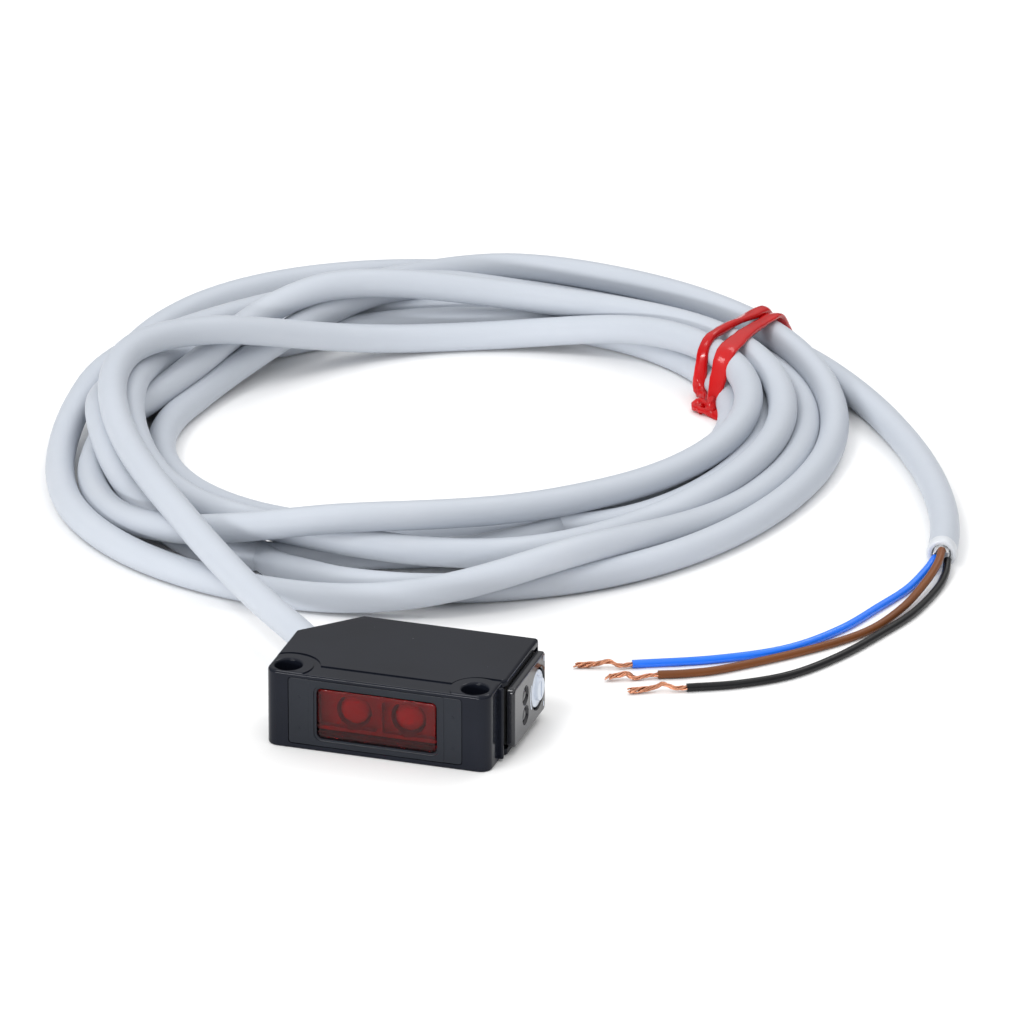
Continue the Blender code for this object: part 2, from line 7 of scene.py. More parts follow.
import bmesh
import bpy
import numpy as np
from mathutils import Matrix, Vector


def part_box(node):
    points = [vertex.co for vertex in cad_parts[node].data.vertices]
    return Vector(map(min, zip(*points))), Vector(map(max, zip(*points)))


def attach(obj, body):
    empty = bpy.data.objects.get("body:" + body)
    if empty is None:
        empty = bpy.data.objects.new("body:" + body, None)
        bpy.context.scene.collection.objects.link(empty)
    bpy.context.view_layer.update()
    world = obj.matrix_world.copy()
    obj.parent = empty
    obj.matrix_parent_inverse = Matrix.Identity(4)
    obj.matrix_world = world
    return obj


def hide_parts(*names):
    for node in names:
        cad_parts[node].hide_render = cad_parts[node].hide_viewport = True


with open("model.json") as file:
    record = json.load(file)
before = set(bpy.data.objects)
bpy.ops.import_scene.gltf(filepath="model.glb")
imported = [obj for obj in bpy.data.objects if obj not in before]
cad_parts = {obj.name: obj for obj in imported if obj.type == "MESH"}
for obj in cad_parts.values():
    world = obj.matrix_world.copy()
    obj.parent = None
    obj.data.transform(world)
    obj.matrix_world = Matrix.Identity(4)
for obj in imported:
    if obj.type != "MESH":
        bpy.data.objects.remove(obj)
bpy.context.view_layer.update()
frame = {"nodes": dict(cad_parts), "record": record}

MM = 0.001
SENSOR = "sensor"
ADJUSTER = "adjuster"


def cad_size(node):
    """Low and high corner of a CAD node's box, in millimetres."""
    return (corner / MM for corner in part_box(node))


# Sizes in millimetres, as in the part
CASE_LOW, CASE_HIGH = cad_size("housing")
LEFT, FRONT, BASE = CASE_LOW
RIGHT, BACK, TOP = CASE_HIGH
BASE = 0.0
MID = (BASE + TOP) / 2
CHAMFER = 7.0
HOLE_RADIUS = 1.75
HOLE_X = (LEFT + 2.5, LEFT + 27.9)
HOLE_Y = FRONT + 2.3
WALL = 1.2
GAP = 0.3                     # clearance between touching pieces
OVERCUT = 1.0                 # how far cutting tools run past a face
CABLE_DIAMETER = 4.0
CORE_DIAMETER = 1.1
EXIT = Vector((LEFT + CHAMFER / 2, BACK - CHAMFER / 2, MID))
OUTWARD = Vector((-1, 1, 0)).normalized()

# Finer shape of the sensor
TOP_EDGE = 0.5                # rounding of the case's top rim
HOLE_RIM = 0.35               # rounding of the mounting holes
BOSS_RADIUS = 3.3
BAND_DEPTH = 0.14             # the front frame lies this much below the plateau
BAND_LINE = FRONT + 3.1
BAND_LEFT = 4.1
BAND_RIGHT = 3.8
FRAME_RIGHT = RIGHT - 0.5     # the front frame is narrower than the case
STEP_OUT = FRONT + 6.3        # where the case steps out behind it
RIB = (FRAME_RIGHT - 1.0, STEP_OUT - 2.2), (RIGHT + 0.1, STEP_OUT - 1.6)
LIP = (FRAME_RIGHT - 0.8, STEP_OUT - 1.0), (RIGHT - 0.35, BACK - 1.0)
POCKET_LEFT, POCKET_RIGHT = -11.0, 8.9
POCKET_FRONT, POCKET_BACK = FRONT + 3.0, -4.6
END_WALL = 1.3
COVER_RAIL = 0.8              # case wall above and below the lens cover
COVER_SEAT_CORNER = 0.6
GASKET_RAIL = 1.0
GASKET_INSET = 0.2
GASKET_SEAT = FRONT + 2.2
LIGHT_WAY = (-10.1, 2.4), (7.9, 8.4)
LIGHT_WAY_BACK = -4.0
PANEL_SEAT = RIGHT - 0.6
PANEL_WAY = (-3.4, 2.2), (8.4, 8.6)
SIDE_FIELD = (-9.5, -2.5), (11.5, 6.0)
SIDE_FIELD_DEPTH = 0.15
BUSH_RADIUS = 2.9
BUSH_LIP = 0.2

# Lens face
SKIN_LEFT, SKIN_RIGHT = LEFT + 3.2, RIGHT - 4.2
SKIN_LOW, SKIN_HIGH = 0.75, TOP - 0.75
SKIN_DEPTH = 0.45
SKIN_CORNER = 0.45
SKIN_GAP = 0.07
CENTRE_LEFT, CENTRE_RIGHT = -10.3, 8.1
CENTRE_RISE = 0.07            # the middle of the skin stands out this much
MARK_X = (-11.7, 9.25)
MARK_Z = (3.0, 7.4)
MARK_HALF = 0.28
WINDOW_SPREAD = 0.2           # the opening's edge is this much wider than the pane
WINDOW_FLARE = 0.35
WINDOW_CORNER = 0.8
LENS_STEPS = 12
COVER_LOW, COVER_HIGH = cad_size("lens_cover")
WINDOW_LOW, WINDOW_HIGH = cad_size("window_filter")
WINDOW_LOW = WINDOW_LOW - Vector((WINDOW_SPREAD, 0, WINDOW_SPREAD))
WINDOW_HIGH = WINDOW_HIGH + Vector((WINDOW_SPREAD, 0, WINDOW_SPREAD))
PANEL_LOW, PANEL_HIGH = cad_size("end_panel")
KNOB_LOW, KNOB_HIGH = cad_size("adjuster_knob")
KNOB_MIDDLE = (KNOB_LOW + KNOB_HIGH) / 2
KNOB_RADIUS = (KNOB_HIGH.z - KNOB_LOW.z) / 2

# Adjuster end
PANEL_CORNER = 0.8
PANEL_EDGE = 0.32
BOSS = 1.55                   # radius of the adjuster's boss
STEM = 0.7
FLANGE = PANEL_HIGH.x - 0.08
SLOT_HALF = (0.22, 1.2)
SLOT_DEPTH = 0.42
GUIDE_WAY = 1.1
GUIDE_FLARE = 1.35
GUIDE_STEM = 0.8
GUIDE_DOME = 1.05
GUIDE_STEPS = 10
MARK_REACH = KNOB_RADIUS + 0.85
MARK_WIDTH = 0.26
MARK_HEIGHT = 0.03
MARK_FIRST, MARK_TURN = 150, 60
TICKS = ((8.35, 8.25), (8.65, 9.1)), ((8.2, 1.9), (8.5, 2.6))

# Fineness of the round shapes
CORNER_STEPS = 10
EDGE_STEPS = 5
ARC_STEPS = 24


# Camera

def make_camera():
    """Long lens, above the lens face and to its right."""
    azimuth, elevation, distance = math.radians(17.52), math.radians(23.83), 1694.0
    aim = Vector((-4.8, 60.1, 5.0))
    back = Vector((
        math.sin(azimuth) * math.cos(elevation),
        -math.cos(azimuth) * math.cos(elevation),
        math.sin(elevation),
    ))
    data = bpy.data.cameras.new("camera")
    data.lens = 443.0
    data.sensor_width = 36.0
    data.clip_start = 0.1
    data.clip_end = 20.0
    camera = bpy.data.objects.new("camera", data)
    bpy.context.scene.collection.objects.link(camera)
    camera.location = (aim + back * distance) * MM
    camera.rotation_euler = back.to_track_quat("Z", "Y").to_euler()
    bpy.context.scene.camera = camera


make_camera()


# Routes

LEAD_ROUTE = (
    (-12.8, 6.5, 5.4), (-16.4, 10.1, 5.4), (-20.8, 14.6, 5.6), (-28.6, 22.8, 7.2),
    (-37.6, 32.4, 9.4), (-46.8, 42.6, 10.2), (-55.0, 52.6, 10.2), (-61.0, 61.4, 10.2),
    (-65.4, 70.0, 10.2), (-67.8, 78.0, 10.2), (-67.8, 85.2, 10.2), (-65.4, 92.0, 10.0),
    (-60.6, 97.2, 9.4), (-54.0, 101.6, 8.6),
)
TAIL_ROUTE = (
    (22.4, 122.2, 2.0), (27.4, 117.6, 2.0), (33.8, 110.0, 2.0), (38.8, 103.0, 2.0),
    (43.2, 95.4, 2.0), (47.4, 87.0, 2.0), (50.2, 79.6, 2.0), (51.6, 74.0, 2.0), (52.2, 70.6, 2.0),
)
CORE_LIE = CORE_DIAMETER / 2 + 0.02
CORE_ROUTES = {
    "blue": (
        (51.5, 70.2, 1.5), (51.1, 66.8, 1.0), (50.1, 61.2, CORE_LIE), (48.2, 54.8, CORE_LIE),
        (45.2, 46.0, CORE_LIE), (40.2, 38.0, CORE_LIE), (32.2, 32.0, CORE_LIE), (22.2, 27.2, CORE_LIE),
    ),
    "brown": (
        (52.4, 70.2, 2.8), (52.7, 67.0, 2.2), (52.4, 61.8, 1.5), (51.4, 54.0, 1.0),
        (48.7, 46.4, CORE_LIE), (43.0, 38.4, CORE_LIE), (34.4, 29.6, CORE_LIE),
        (30.0, 26.6, CORE_LIE), (26.4, 25.0, CORE_LIE),
    ),
    "black": (
        (53.2, 70.2, 1.4), (53.8, 66.8, 0.8), (53.9, 62.0, CORE_LIE), (53.0, 54.0, CORE_LIE),
        (50.8, 46.6, CORE_LIE), (47.6, 38.0, CORE_LIE), (43.2, 30.4, CORE_LIE),
        (37.4, 25.4, CORE_LIE), (31.2, 22.2, CORE_LIE),
    ),
}
COPPER_ROUTES = {
    "blue": ((22.4, 27.3, 0.57), (20.8, 26.4, 0.5), (19.4, 26.3, 0.9), (18.4, 26.0, 0.8), (16.6, 25.4, 0.5),
             (14.8, 24.9, 0.45)),
    "brown": ((26.6, 25.1, 0.57), (25.0, 24.3, 0.5), (23.6, 23.4, 0.4), (22.6, 23.4, 0.9), (21.4, 22.8, 0.7),
              (19.8, 22.1, 0.45)),
    "black": ((31.4, 22.3, 0.57), (29.8, 21.6, 0.6), (28.2, 21.4, 1.0), (27.2, 20.8, 0.7), (25.6, 19.9, 0.5),
              (24.0, 19.1, 0.45)),
}
STRANDS = 9
STRAND_RADIUS = 0.115
STRAND_STEP = 0.12            # between points along the bare strands
STRAND_TWIST = 0.17           # turn from one point to the next
STRAND_SPREAD = 0.24
STRAND_SPLAY = 0.17           # how far they open towards their ends
CORE_STEP = 0.6
RIM_DEPTH = 1.6
RIM_BORE = 1.25
FILLER_LEVELS = 9
FILLER_STEPS = 40
FILLER_RISE = 0.24
FILLER_REACH = 1.16
FILLER_WALL = 0.14

# The coil goes round clockwise from its left side. Each turn is given at twelve even stations,
# as distance from the middle and height of the centreline, both in cable diameters.
COIL_MIDDLE = (-23.0, 90.0)
COIL_STRETCH = 1.18
STATIONS = 12
FIRST_STATION = 1
COIL_TURNS = (
    ((0.0, 7.5, 7.5, 7.25, 9.0, 10.25, 9.5, 8.25, 8.25, 9.75, 11.5, 12.25),
     (2.2, 1.9, 0.9, 0.5, 0.7, 1.3, 1.4, 1.4, 1.5, 1.8, 1.0, 0.6)),
    ((10.0, 9.5, 8.25, 8.25, 9.0, 11.0, 11.25, 9.75, 9.5, 9.5, 10.75, 10.75),
     (1.0, 1.1, 1.4, 1.4, 1.4, 1.4, 1.4, 1.5, 1.0, 0.7, 1.3, 1.6)),
    ((10.5, 9.0, 8.5, 8.5, 8.75, 9.75, 9.25, 8.25, 8.5, 9.25, 10.75, 11.5),
     (1.4, 0.5, 0.5, 0.5, 0.5, 0.5, 0.5, 0.5, 0.5, 0.6, 0.7, 1.2)),
    ((11.25, 10.0, 9.5, 9.5, 9.75, 10.75, 10.25, 9.25, 7.5, 7.5, 8.75, 9.75),
     (1.0, 0.6, 0.5, 0.5, 0.5, 0.5, 0.5, 0.5, 0.5, 0.5, 0.5, 0.5)),
    ((10.0, 8.5, 9.75, 10.5, 10.75, 12.25, 11.75, 11.0, 12.25, 12.25, 13.0, 13.25),
     (0.5, 0.5, 0.5, 0.5, 0.5, 0.5, 0.5, 0.6, 1.2, 1.0, 0.6, 0.7)),
    ((11.75, 10.75, 10.5, 10.5, 11.25, 12.75, 12.75, 12.25, 11.5, 10.75, 10.0, 11.0),
     (1.4, 1.5, 1.5, 1.5, 1.4, 1.3, 0.9, 0.5, 0.5, 0.5, 0.5, 0.5)),
    ((12.25, 13.75, 12.5, 11.5, 11.75), (0.5, 0.5, 0.5, 0.5, 0.5)),
)
SPACING = 2.0                 # between points of the finished route
SETTLE_SPACING = 5.0
SETTLE_ROUNDS = 260
HELD = 3                      # points that stay put at each end
HOLD = 0.02                   # how firmly the laid-out turns keep their place
SINK = 0.02                   # how far a free strand sinks in a round
EASE = 0.11                   # how strongly a bend is eased, and how often in a round
EASE_TIMES = 4
INNER_CABLE = 3.4             # cable inside the case


def smooth_route(route, spacing):
    """Even points along a smooth curve through the route's own points."""
    knots = [Vector(point) for point in route]
    knots.insert(0, 2 * knots[0] - knots[1])
    knots.append(2 * knots[-1] - knots[-2])
    dense = []
    steps = 20
    for a, b, c, d in zip(knots, knots[1:], knots[2:], knots[3:]):
        for step in range(steps):
            t = step / steps
            bend = (2 * a - 5 * b + 4 * c - d) * t**2 + (3 * b - a - 3 * c + d) * t**3
            dense.append((2 * b + (c - a) * t + bend) / 2)
    dense.append(knots[-2])
    return resample(dense, spacing)


def resample(points, spacing):
    """Points an even distance apart along a line of points."""
    line = np.array([tuple(point) for point in points])
    reach = np.concatenate(([0.0], np.cumsum(np.linalg.norm(np.diff(line, axis=0), axis=1))))
    count = max(2, round(reach[-1] / spacing))
    wanted = np.linspace(0, reach[-1], count + 1)
    return np.stack([np.interp(wanted, reach, line[:, axis]) for axis in range(3)], axis=1)


def coil_points():
    """The coil's turns, station by station."""
    points = []
    for number, (distances, heights) in enumerate(COIL_TURNS):
        for station, (distance, height) in enumerate(zip(distances, heights)):
            if number == 0 and station < FIRST_STATION:
                continue
            angle = math.pi - math.tau * station / STATIONS
            points.append((
                COIL_MIDDLE[0] + distance * CABLE_DIAMETER * math.cos(angle),
                COIL_MIDDLE[1] + distance * CABLE_DIAMETER * math.sin(angle) * COIL_STRETCH,
                height * CABLE_DIAMETER,
            ))
    return points


def settle(line, diameter):
    """Let the strands push each other apart and sink until they lie on each other."""
    line = line.copy()
    home = line.copy()
    count = len(line)
    fine = 2 * count - 1
    share = np.zeros((fine, count))
    share[np.arange(0, fine, 2), np.arange(count)] = 1.0
    share[np.arange(1, fine, 2), np.arange(count - 1)] = 0.5
    share[np.arange(1, fine, 2), np.arange(1, count)] = 0.5
    apart = 2 * int(2.2 * diameter / SETTLE_SPACING) + 2
    first, second = np.triu_indices(fine, k=apart)
    free = np.ones(count, bool)
    free[:HELD] = False
    free[count - HELD:] = False
    for turn in range(SETTLE_ROUNDS):
        for easing in range(EASE_TIMES):
            bend = np.zeros_like(line)
            curve = line[:-2] - 2 * line[1:-1] + line[2:]
            bend[2:-2] = -(curve[:-2] - 2 * curve[1:-1] + curve[2:])
            line[free] += EASE * bend[free]
        line[free, 2] -= SINK
        line[free, :2] += HOLD * (home - line)[free, :2]
        strands = share @ line
        gap = strands[second] - strands[first]
        distance = np.sqrt((gap * gap).sum(axis=1))
        close = distance < diameter
        push = np.zeros_like(strands)
        weight = np.zeros(fine)
        lean = (0.5 * (diameter / np.maximum(distance[close], 1e-6) - 1))[:, None] * gap[close]
        np.add.at(push, first[close], -lean)
        np.add.at(push, second[close], lean)
        np.add.at(weight, first[close], 1)
        np.add.at(weight, second[close], 1)
        push /= np.maximum(weight, 1)[:, None]
        moved = share.T @ push
        line[free] += moved[free]
        line[:, 2] = np.maximum(line[:, 2], diameter / 2)
    return line


laid_line = smooth_route((*LEAD_ROUTE, *coil_points(), *TAIL_ROUTE[1:]), SETTLE_SPACING)
cable_line = smooth_route(settle(laid_line, CABLE_DIAMETER), SPACING)


# Materials

def node_material(name, colour, roughness, metallic=0.0):
    """Principled material and the nodes to build on."""
    material = bpy.data.materials.new(name)
    material.use_nodes = True
    tree = material.node_tree
    shader = tree.nodes["Principled BSDF"]
    shader.inputs["Base Color"].default_value = (*colour, 1)
    shader.inputs["Roughness"].default_value = roughness
    shader.inputs["Metallic"].default_value = metallic
    return material, tree, shader


def noise(tree, scale, detail=4.0, roughness=0.5, distortion=0.0):
    """Noise in object coordinates, in metres."""
    place = tree.nodes.new("ShaderNodeTexCoord")
    texture = tree.nodes.new("ShaderNodeTexNoise")
    texture.inputs["Scale"].default_value = scale
    texture.inputs["Detail"].default_value = detail
    texture.inputs["Roughness"].default_value = roughness
    texture.inputs["Distortion"].default_value = distortion
    tree.links.new(place.outputs["Object"], texture.inputs["Vector"])
    return texture.outputs["Fac"]


def ramp(tree, source, stops):
    """Colour ramp over a value; stops are (position, colour)."""
    node = tree.nodes.new("ShaderNodeValToRGB")
    elements = node.color_ramp.elements
    while len(elements) < len(stops):
        elements.new(0.5)
    for element, (position, colour) in zip(elements, stops):
        element.position = position
        element.color = (*colour, 1)
    tree.links.new(source, node.inputs["Fac"])
    return node.outputs["Color"]


def span(tree, source, low, high, from_low=0.3, from_high=0.7):
    """Map a value onto a range."""
    node = tree.nodes.new("ShaderNodeMapRange")
    node.inputs["From Min"].default_value = from_low
    node.inputs["From Max"].default_value = from_high
    node.inputs["To Min"].default_value = low
    node.inputs["To Max"].default_value = high
    tree.links.new(source, node.inputs["Value"])
    return node.outputs["Result"]


def bump(tree, shader, source, strength, distance):
    """Fine relief from a value."""
    node = tree.nodes.new("ShaderNodeBump")
    node.inputs["Strength"].default_value = strength
    node.inputs["Distance"].default_value = distance
    tree.links.new(source, node.inputs["Height"])
    tree.links.new(node.outputs["Normal"], shader.inputs["Normal"])


def plastic(name, colour, roughness, grain=2600.0, relief=0.12, variation=0.12, spread=0.08,
            coat=0.0, specular=0.5):
    """Moulded plastic: slight colour drift, uneven gloss and a fine moulded grain."""
    material, tree, shader = node_material(name, colour, roughness)
    drift = noise(tree, 90.0, 5.0)
    dark = tuple(max(0.0, value * (1 - variation)) for value in colour)
    light = tuple(min(1.0, value * (1 + variation)) for value in colour)
    tree.links.new(ramp(tree, drift, ((0.3, dark), (0.7, light))), shader.inputs["Base Color"])
    smear = noise(tree, 420.0, 6.0, 0.62, 0.4)
    tree.links.new(span(tree, smear, roughness, roughness + spread), shader.inputs["Roughness"])
    bump(tree, shader, noise(tree, grain, 3.0), relief, 0.00002)
    shader.inputs["Specular IOR Level"].default_value = specular
    if coat:
        shader.inputs["Coat Weight"].default_value = coat
        shader.inputs["Coat Roughness"].default_value = 0.06
    return material


def speckled(material, colour, scale=900.0):
    """Dust specks over a dark plastic."""
    tree = material.node_tree
    shader = tree.nodes["Principled BSDF"]
    base = shader.inputs["Base Color"].links[0].from_socket
    place = tree.nodes.new("ShaderNodeTexCoord")
    cells = tree.nodes.new("ShaderNodeTexVoronoi")
    cells.inputs["Scale"].default_value = scale
    cells.inputs["Randomness"].default_value = 1.0
    tree.links.new(place.outputs["Object"], cells.inputs["Vector"])
    patch = noise(tree, scale * 0.6, 2.0)
    near = tree.nodes.new("ShaderNodeMath")
    near.operation = "LESS_THAN"
    near.inputs[1].default_value = SPECK_RADIUS
    tree.links.new(cells.outputs["Distance"], near.inputs[0])
    rare = tree.nodes.new("ShaderNodeMath")
    rare.operation = "GREATER_THAN"
    rare.inputs[1].default_value = SPECK_RARITY
    tree.links.new(patch, rare.inputs[0])
    both = tree.nodes.new("ShaderNodeMath")
    both.operation = "MULTIPLY"
    tree.links.new(near.outputs["Value"], both.inputs[0])
    tree.links.new(rare.outputs["Value"], both.inputs[1])
    mix = tree.nodes.new("ShaderNodeMix")
    mix.data_type = "RGBA"
    tree.links.new(both.outputs["Value"], mix.inputs["Factor"])
    tree.links.new(base, mix.inputs["A"])
    mix.inputs["B"].default_value = (*colour, 1)
    tree.links.new(mix.outputs["Result"], shader.inputs["Base Color"])
    return material


def sheath_material():
    """Pale grey PVC: matte, with a waxy drift and faint handling marks."""
    material, tree, shader = node_material("cable_sheath", (0.48, 0.515, 0.57), 0.48)
    drift = noise(tree, 30.0, 6.0, 0.6)
    tones = ((0.3, (0.47, 0.505, 0.56)), (0.55, (0.49, 0.525, 0.58)), (0.75, (0.515, 0.545, 0.595)))
    tree.links.new(ramp(tree, drift, tones), shader.inputs["Base Color"])
    tree.links.new(span(tree, noise(tree, 260.0, 6.0, 0.7), 0.42, 0.6), shader.inputs["Roughness"])
    bump(tree, shader, noise(tree, 1500.0, 4.0), 0.10, 0.00003)
    shader.inputs["Specular IOR Level"].default_value = 0.35
    shader.inputs["Subsurface Weight"].default_value = 0.05
    shader.inputs["Subsurface Radius"].default_value = (0.0012, 0.0012, 0.0014)
    shader.inputs["Subsurface Scale"].default_value = 0.4
    return material


def metal(name, colour, roughness):
    """Bare metal with drawn streaks and tarnish."""
    material, tree, shader = node_material(name, colour, roughness, 1.0)
    dark = tuple(value * 0.72 for value in colour)
    tarnish = ramp(tree, noise(tree, 700.0, 6.0, 0.6), ((0.35, dark), (0.7, colour)))
    tree.links.new(tarnish, shader.inputs["Base Color"])
    streaks = span(tree, noise(tree, 1800.0, 4.0), roughness, roughness + 0.18)
    tree.links.new(streaks, shader.inputs["Roughness"])
    bump(tree, shader, noise(tree, 5200.0, 3.0), 0.15, 0.00001)
    return material


def clear_plastic(name, colour, roughness, transmission, ior=1.49):
    """See-through moulded plastic with faint flow marks."""
    material, tree, shader = node_material(name, colour, roughness)
    shader.inputs["Transmission Weight"].default_value = transmission
    shader.inputs["IOR"].default_value = ior
    light = tuple(min(1.0, value * 1.08) for value in colour)
    tint = ramp(tree, noise(tree, 160.0, 4.0), ((0.35, colour), (0.7, light)))
    tree.links.new(tint, shader.inputs["Base Color"])
    haze = span(tree, noise(tree, 600.0, 5.0), roughness, roughness + 0.03)
    tree.links.new(haze, shader.inputs["Roughness"])
    bump(tree, shader, noise(tree, 320.0, 2.0), 0.04, 0.00002)
    return material


def circuit_board():
    """Green solder mask over a faint grid of tracks."""
    material, tree, shader = node_material("circuit_board", (0.02, 0.13, 0.05), 0.35)
    place = tree.nodes.new("ShaderNodeTexCoord")
    bricks = tree.nodes.new("ShaderNodeTexBrick")
    bricks.inputs["Scale"].default_value = 700.0
    bricks.inputs["Color1"].default_value = (0.02, 0.13, 0.05, 1)
    bricks.inputs["Color2"].default_value = (0.025, 0.16, 0.06, 1)
    bricks.inputs["Mortar"].default_value = (0.05, 0.26, 0.11, 1)
    bricks.inputs["Mortar Size"].default_value = 0.03
    tree.links.new(place.outputs["Object"], bricks.inputs["Vector"])
    tree.links.new(bricks.outputs["Color"], shader.inputs["Base Color"])
    bump(tree, shader, noise(tree, 2400.0, 3.0), 0.1, 0.00002)
    return material


SPECK_RADIUS = 0.07           # of the cells' own size
SPECK_RARITY = 0.6162
CASE_PLASTIC = speckled(
    plastic("case_plastic", (0.0080, 0.0096, 0.0155), 0.10, variation=0.16, spread=0.06, relief=0.05,
            specular=0.15),
    (0.10, 0.10, 0.115),
)
COVER_PLASTIC = speckled(
    plastic("cover_plastic", (0.0150, 0.0175, 0.0235), 0.16, relief=0.05, specular=0.19),
    (0.14, 0.15, 0.17), 1100.0,
)
MATERIALS = {
    "cable_sheath": sheath_material(),
    "case": CASE_PLASTIC,
    "lens_cover": COVER_PLASTIC,
    "window": clear_plastic("window_red", (0.66, 0.030, 0.038), 0.02, 1.0, 1.34),
    "gasket": plastic("seal_rubber", (0.02, 0.02, 0.02), 0.62, relief=0.2),
    "lens_frame": plastic("frame_plastic", (0.20, 0.12, 0.12), 0.42),
    "lens": clear_plastic("lens_plastic", (0.48, 0.45, 0.44), 0.03, 0.3),
    "circuit_board": circuit_board(),
    "electronic_part": plastic("package_black", (0.025, 0.025, 0.027), 0.45),
    "light_part": plastic("package_pale", (0.7, 0.66, 0.55), 0.35, coat=0.4),
    "tinned_metal": metal("tinned_sheet", (0.62, 0.62, 0.6), 0.3),
    "end_panel": clear_plastic("panel_smoke", (0.020, 0.021, 0.026), 0.05, 0.2),
    "adjuster": plastic("knob_plastic", (0.70, 0.76, 0.86), 0.32, relief=0.08, variation=0.03),
    "core_blue": plastic("core_blue", (0.003, 0.17, 0.92), 0.3, variation=0.08, coat=0.2),
    "core_brown": plastic("core_brown", (0.165, 0.052, 0.013), 0.34, variation=0.12, specular=0.3),
    "core_black": plastic("core_black", (0.005, 0.005, 0.006), 0.26, variation=0.2, specular=0.3),
    "copper": metal("bare_copper", (0.66, 0.30, 0.18), 0.22),
    "cable_rim": plastic("sheath_cut", (0.60, 0.625, 0.66), 0.3, relief=0.1, variation=0.04),
    "filler": plastic("filler_tape", (0.86, 0.87, 0.88), 0.22, relief=0.4, grain=1400.0, variation=0.08,
                      coat=0.6),
    "tie": plastic("tie_red", (0.50, 0.002, 0.003), 0.12, relief=0.3, grain=700.0, variation=0.22, coat=0.15,
                   specular=0.28),
}


# Making pieces

def keep(piece, slot, body=SENSOR, nodes=(), material=None):
    """Dress a finished piece, let it ride its body and stand for its CAD nodes."""
    piece.data.materials.clear()
    piece.data.materials.append(material or MATERIALS[slot])
    if nodes:
        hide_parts(*nodes)
    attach(piece, body)
    return piece


def add(name, data):
    """Object in the scene's collection."""
    thing = bpy.data.objects.new(name, data)
    bpy.context.scene.collection.objects.link(thing)
    return thing


def place(plane, u, v, w):
    """Point at (u, v) of a plane, w along its normal."""
    return {"XY": (u, v, w), "XZ": (u, w, v), "YZ": (w, u, v)}[plane]


def loft(name, rings, closed=False):
    """Solid through rings of points that all have the same number of points."""
    shape = bmesh.new()
    loops = [[shape.verts.new(Vector(point) * MM) for point in ring] for ring in rings]
    pairs = list(zip(loops, loops[1:]))
    if closed:
        pairs.append((loops[-1], loops[0]))
    for lower, upper in pairs:
        for index in range(len(lower)):
            after = (index + 1) % len(lower)
            shape.faces.new((lower[index], lower[after], upper[after], upper[index]))
    if not closed:
        shape.faces.new(tuple(reversed(loops[0])))
        shape.faces.new(tuple(loops[-1]))
    bmesh.ops.recalc_face_normals(shape, faces=shape.faces)
    mesh = bpy.data.meshes.new(name)
    shape.to_mesh(mesh)
    shape.free()
    return add(name, mesh)


def outline(corners, radii, inset=0.0):
    """Outline with round corners, drawn in by the inset."""
    points = []
    count = len(corners)
    for index, corner in enumerate(corners):
        here = Vector(corner)
        before = (Vector(corners[index - 1]) - here).normalized()
        after = (Vector(corners[(index + 1) % count]) - here).normalized()
        half = before.angle(after) / 2
        radius = radii[index]
        centre = here + (before + after).normalized() * (radius / math.sin(half))
        start = here + before * (radius / math.tan(half)) - centre
        end = here + after * (radius / math.tan(half)) - centre
        first = math.atan2(start.y, start.x)
        turn = (math.atan2(end.y, end.x) - first + math.pi) % math.tau - math.pi
        inward = before.x * after.y - before.y * after.x > 0
        reach = radius + inset if inward else max(radius - inset, 0.01)
        for step in range(CORNER_STEPS + 1):
            angle = first + turn * step / CORNER_STEPS
            points.append((centre.x + reach * math.cos(angle), centre.y + reach * math.sin(angle)))
    return points


def rectangle(low, high):
    """Corners of a rectangle."""
    return ((low[0], low[1]), (high[0], low[1]), (high[0], high[1]), (low[0], high[1]))


def edge_levels(low, high, low_edge, high_edge):
    """Heights and insets of a solid whose rims are rounded with two radii."""
    levels = []
    for end, radius, sign in ((low, low_edge, 1), (high, high_edge, -1)):
        steps = range(EDGE_STEPS + 1) if radius else (EDGE_STEPS,)
        rim = []
        for step in steps:
            turn = math.pi / 2 * step / EDGE_STEPS
            rim.append((end + sign * radius * (1 - math.cos(turn)), radius * (1 - math.sin(turn))))
        levels += rim if sign > 0 else reversed(rim)
    return levels


def slab(name, corners, radii, low, high, plane="XY", low_edge=0.0, high_edge=0.0):
    """Flat solid with round corners and rounded rims."""
    if isinstance(radii, float):
        radii = (radii,) * len(corners)
    rings = []
    for level, inset in edge_levels(low, high, low_edge, high_edge):
        rings.append([place(plane, u, v, level) for u, v in outline(corners, radii, inset)])
    return loft(name, rings)


def turned(name, profile, centre, axis, closed=False, steps=64):
    """Turned solid: the profile's points are radius and distance along the axis."""
    turn_to = Vector(axis).to_track_quat("Z", "Y")
    rings = []
    for radius, height in profile:
        ring = []
        for step in range(steps):
            angle = math.tau * step / steps
            point = Vector((radius * math.cos(angle), radius * math.sin(angle), height))
            ring.append(Vector(centre) + turn_to @ point)
        rings.append(ring)
    return loft(name, rings, closed)


def bake(piece):
    """Apply the piece's modifiers."""
    bpy.context.view_layer.update()
    graph = bpy.context.evaluated_depsgraph_get()
    mesh = bpy.data.meshes.new_from_object(piece.evaluated_get(graph))
    piece.modifiers.clear()
    piece.data = mesh


def combine(piece, operation, *tools):
    """Join tools to the piece, or cut it with them."""
    for tool in tools:
        change = piece.modifiers.new(tool.name, "BOOLEAN")
        change.operation = operation
        change.solver = "EXACT"
        change.object = tool
    bake(piece)
    for tool in tools:
        bpy.data.objects.remove(tool, do_unlink=True)


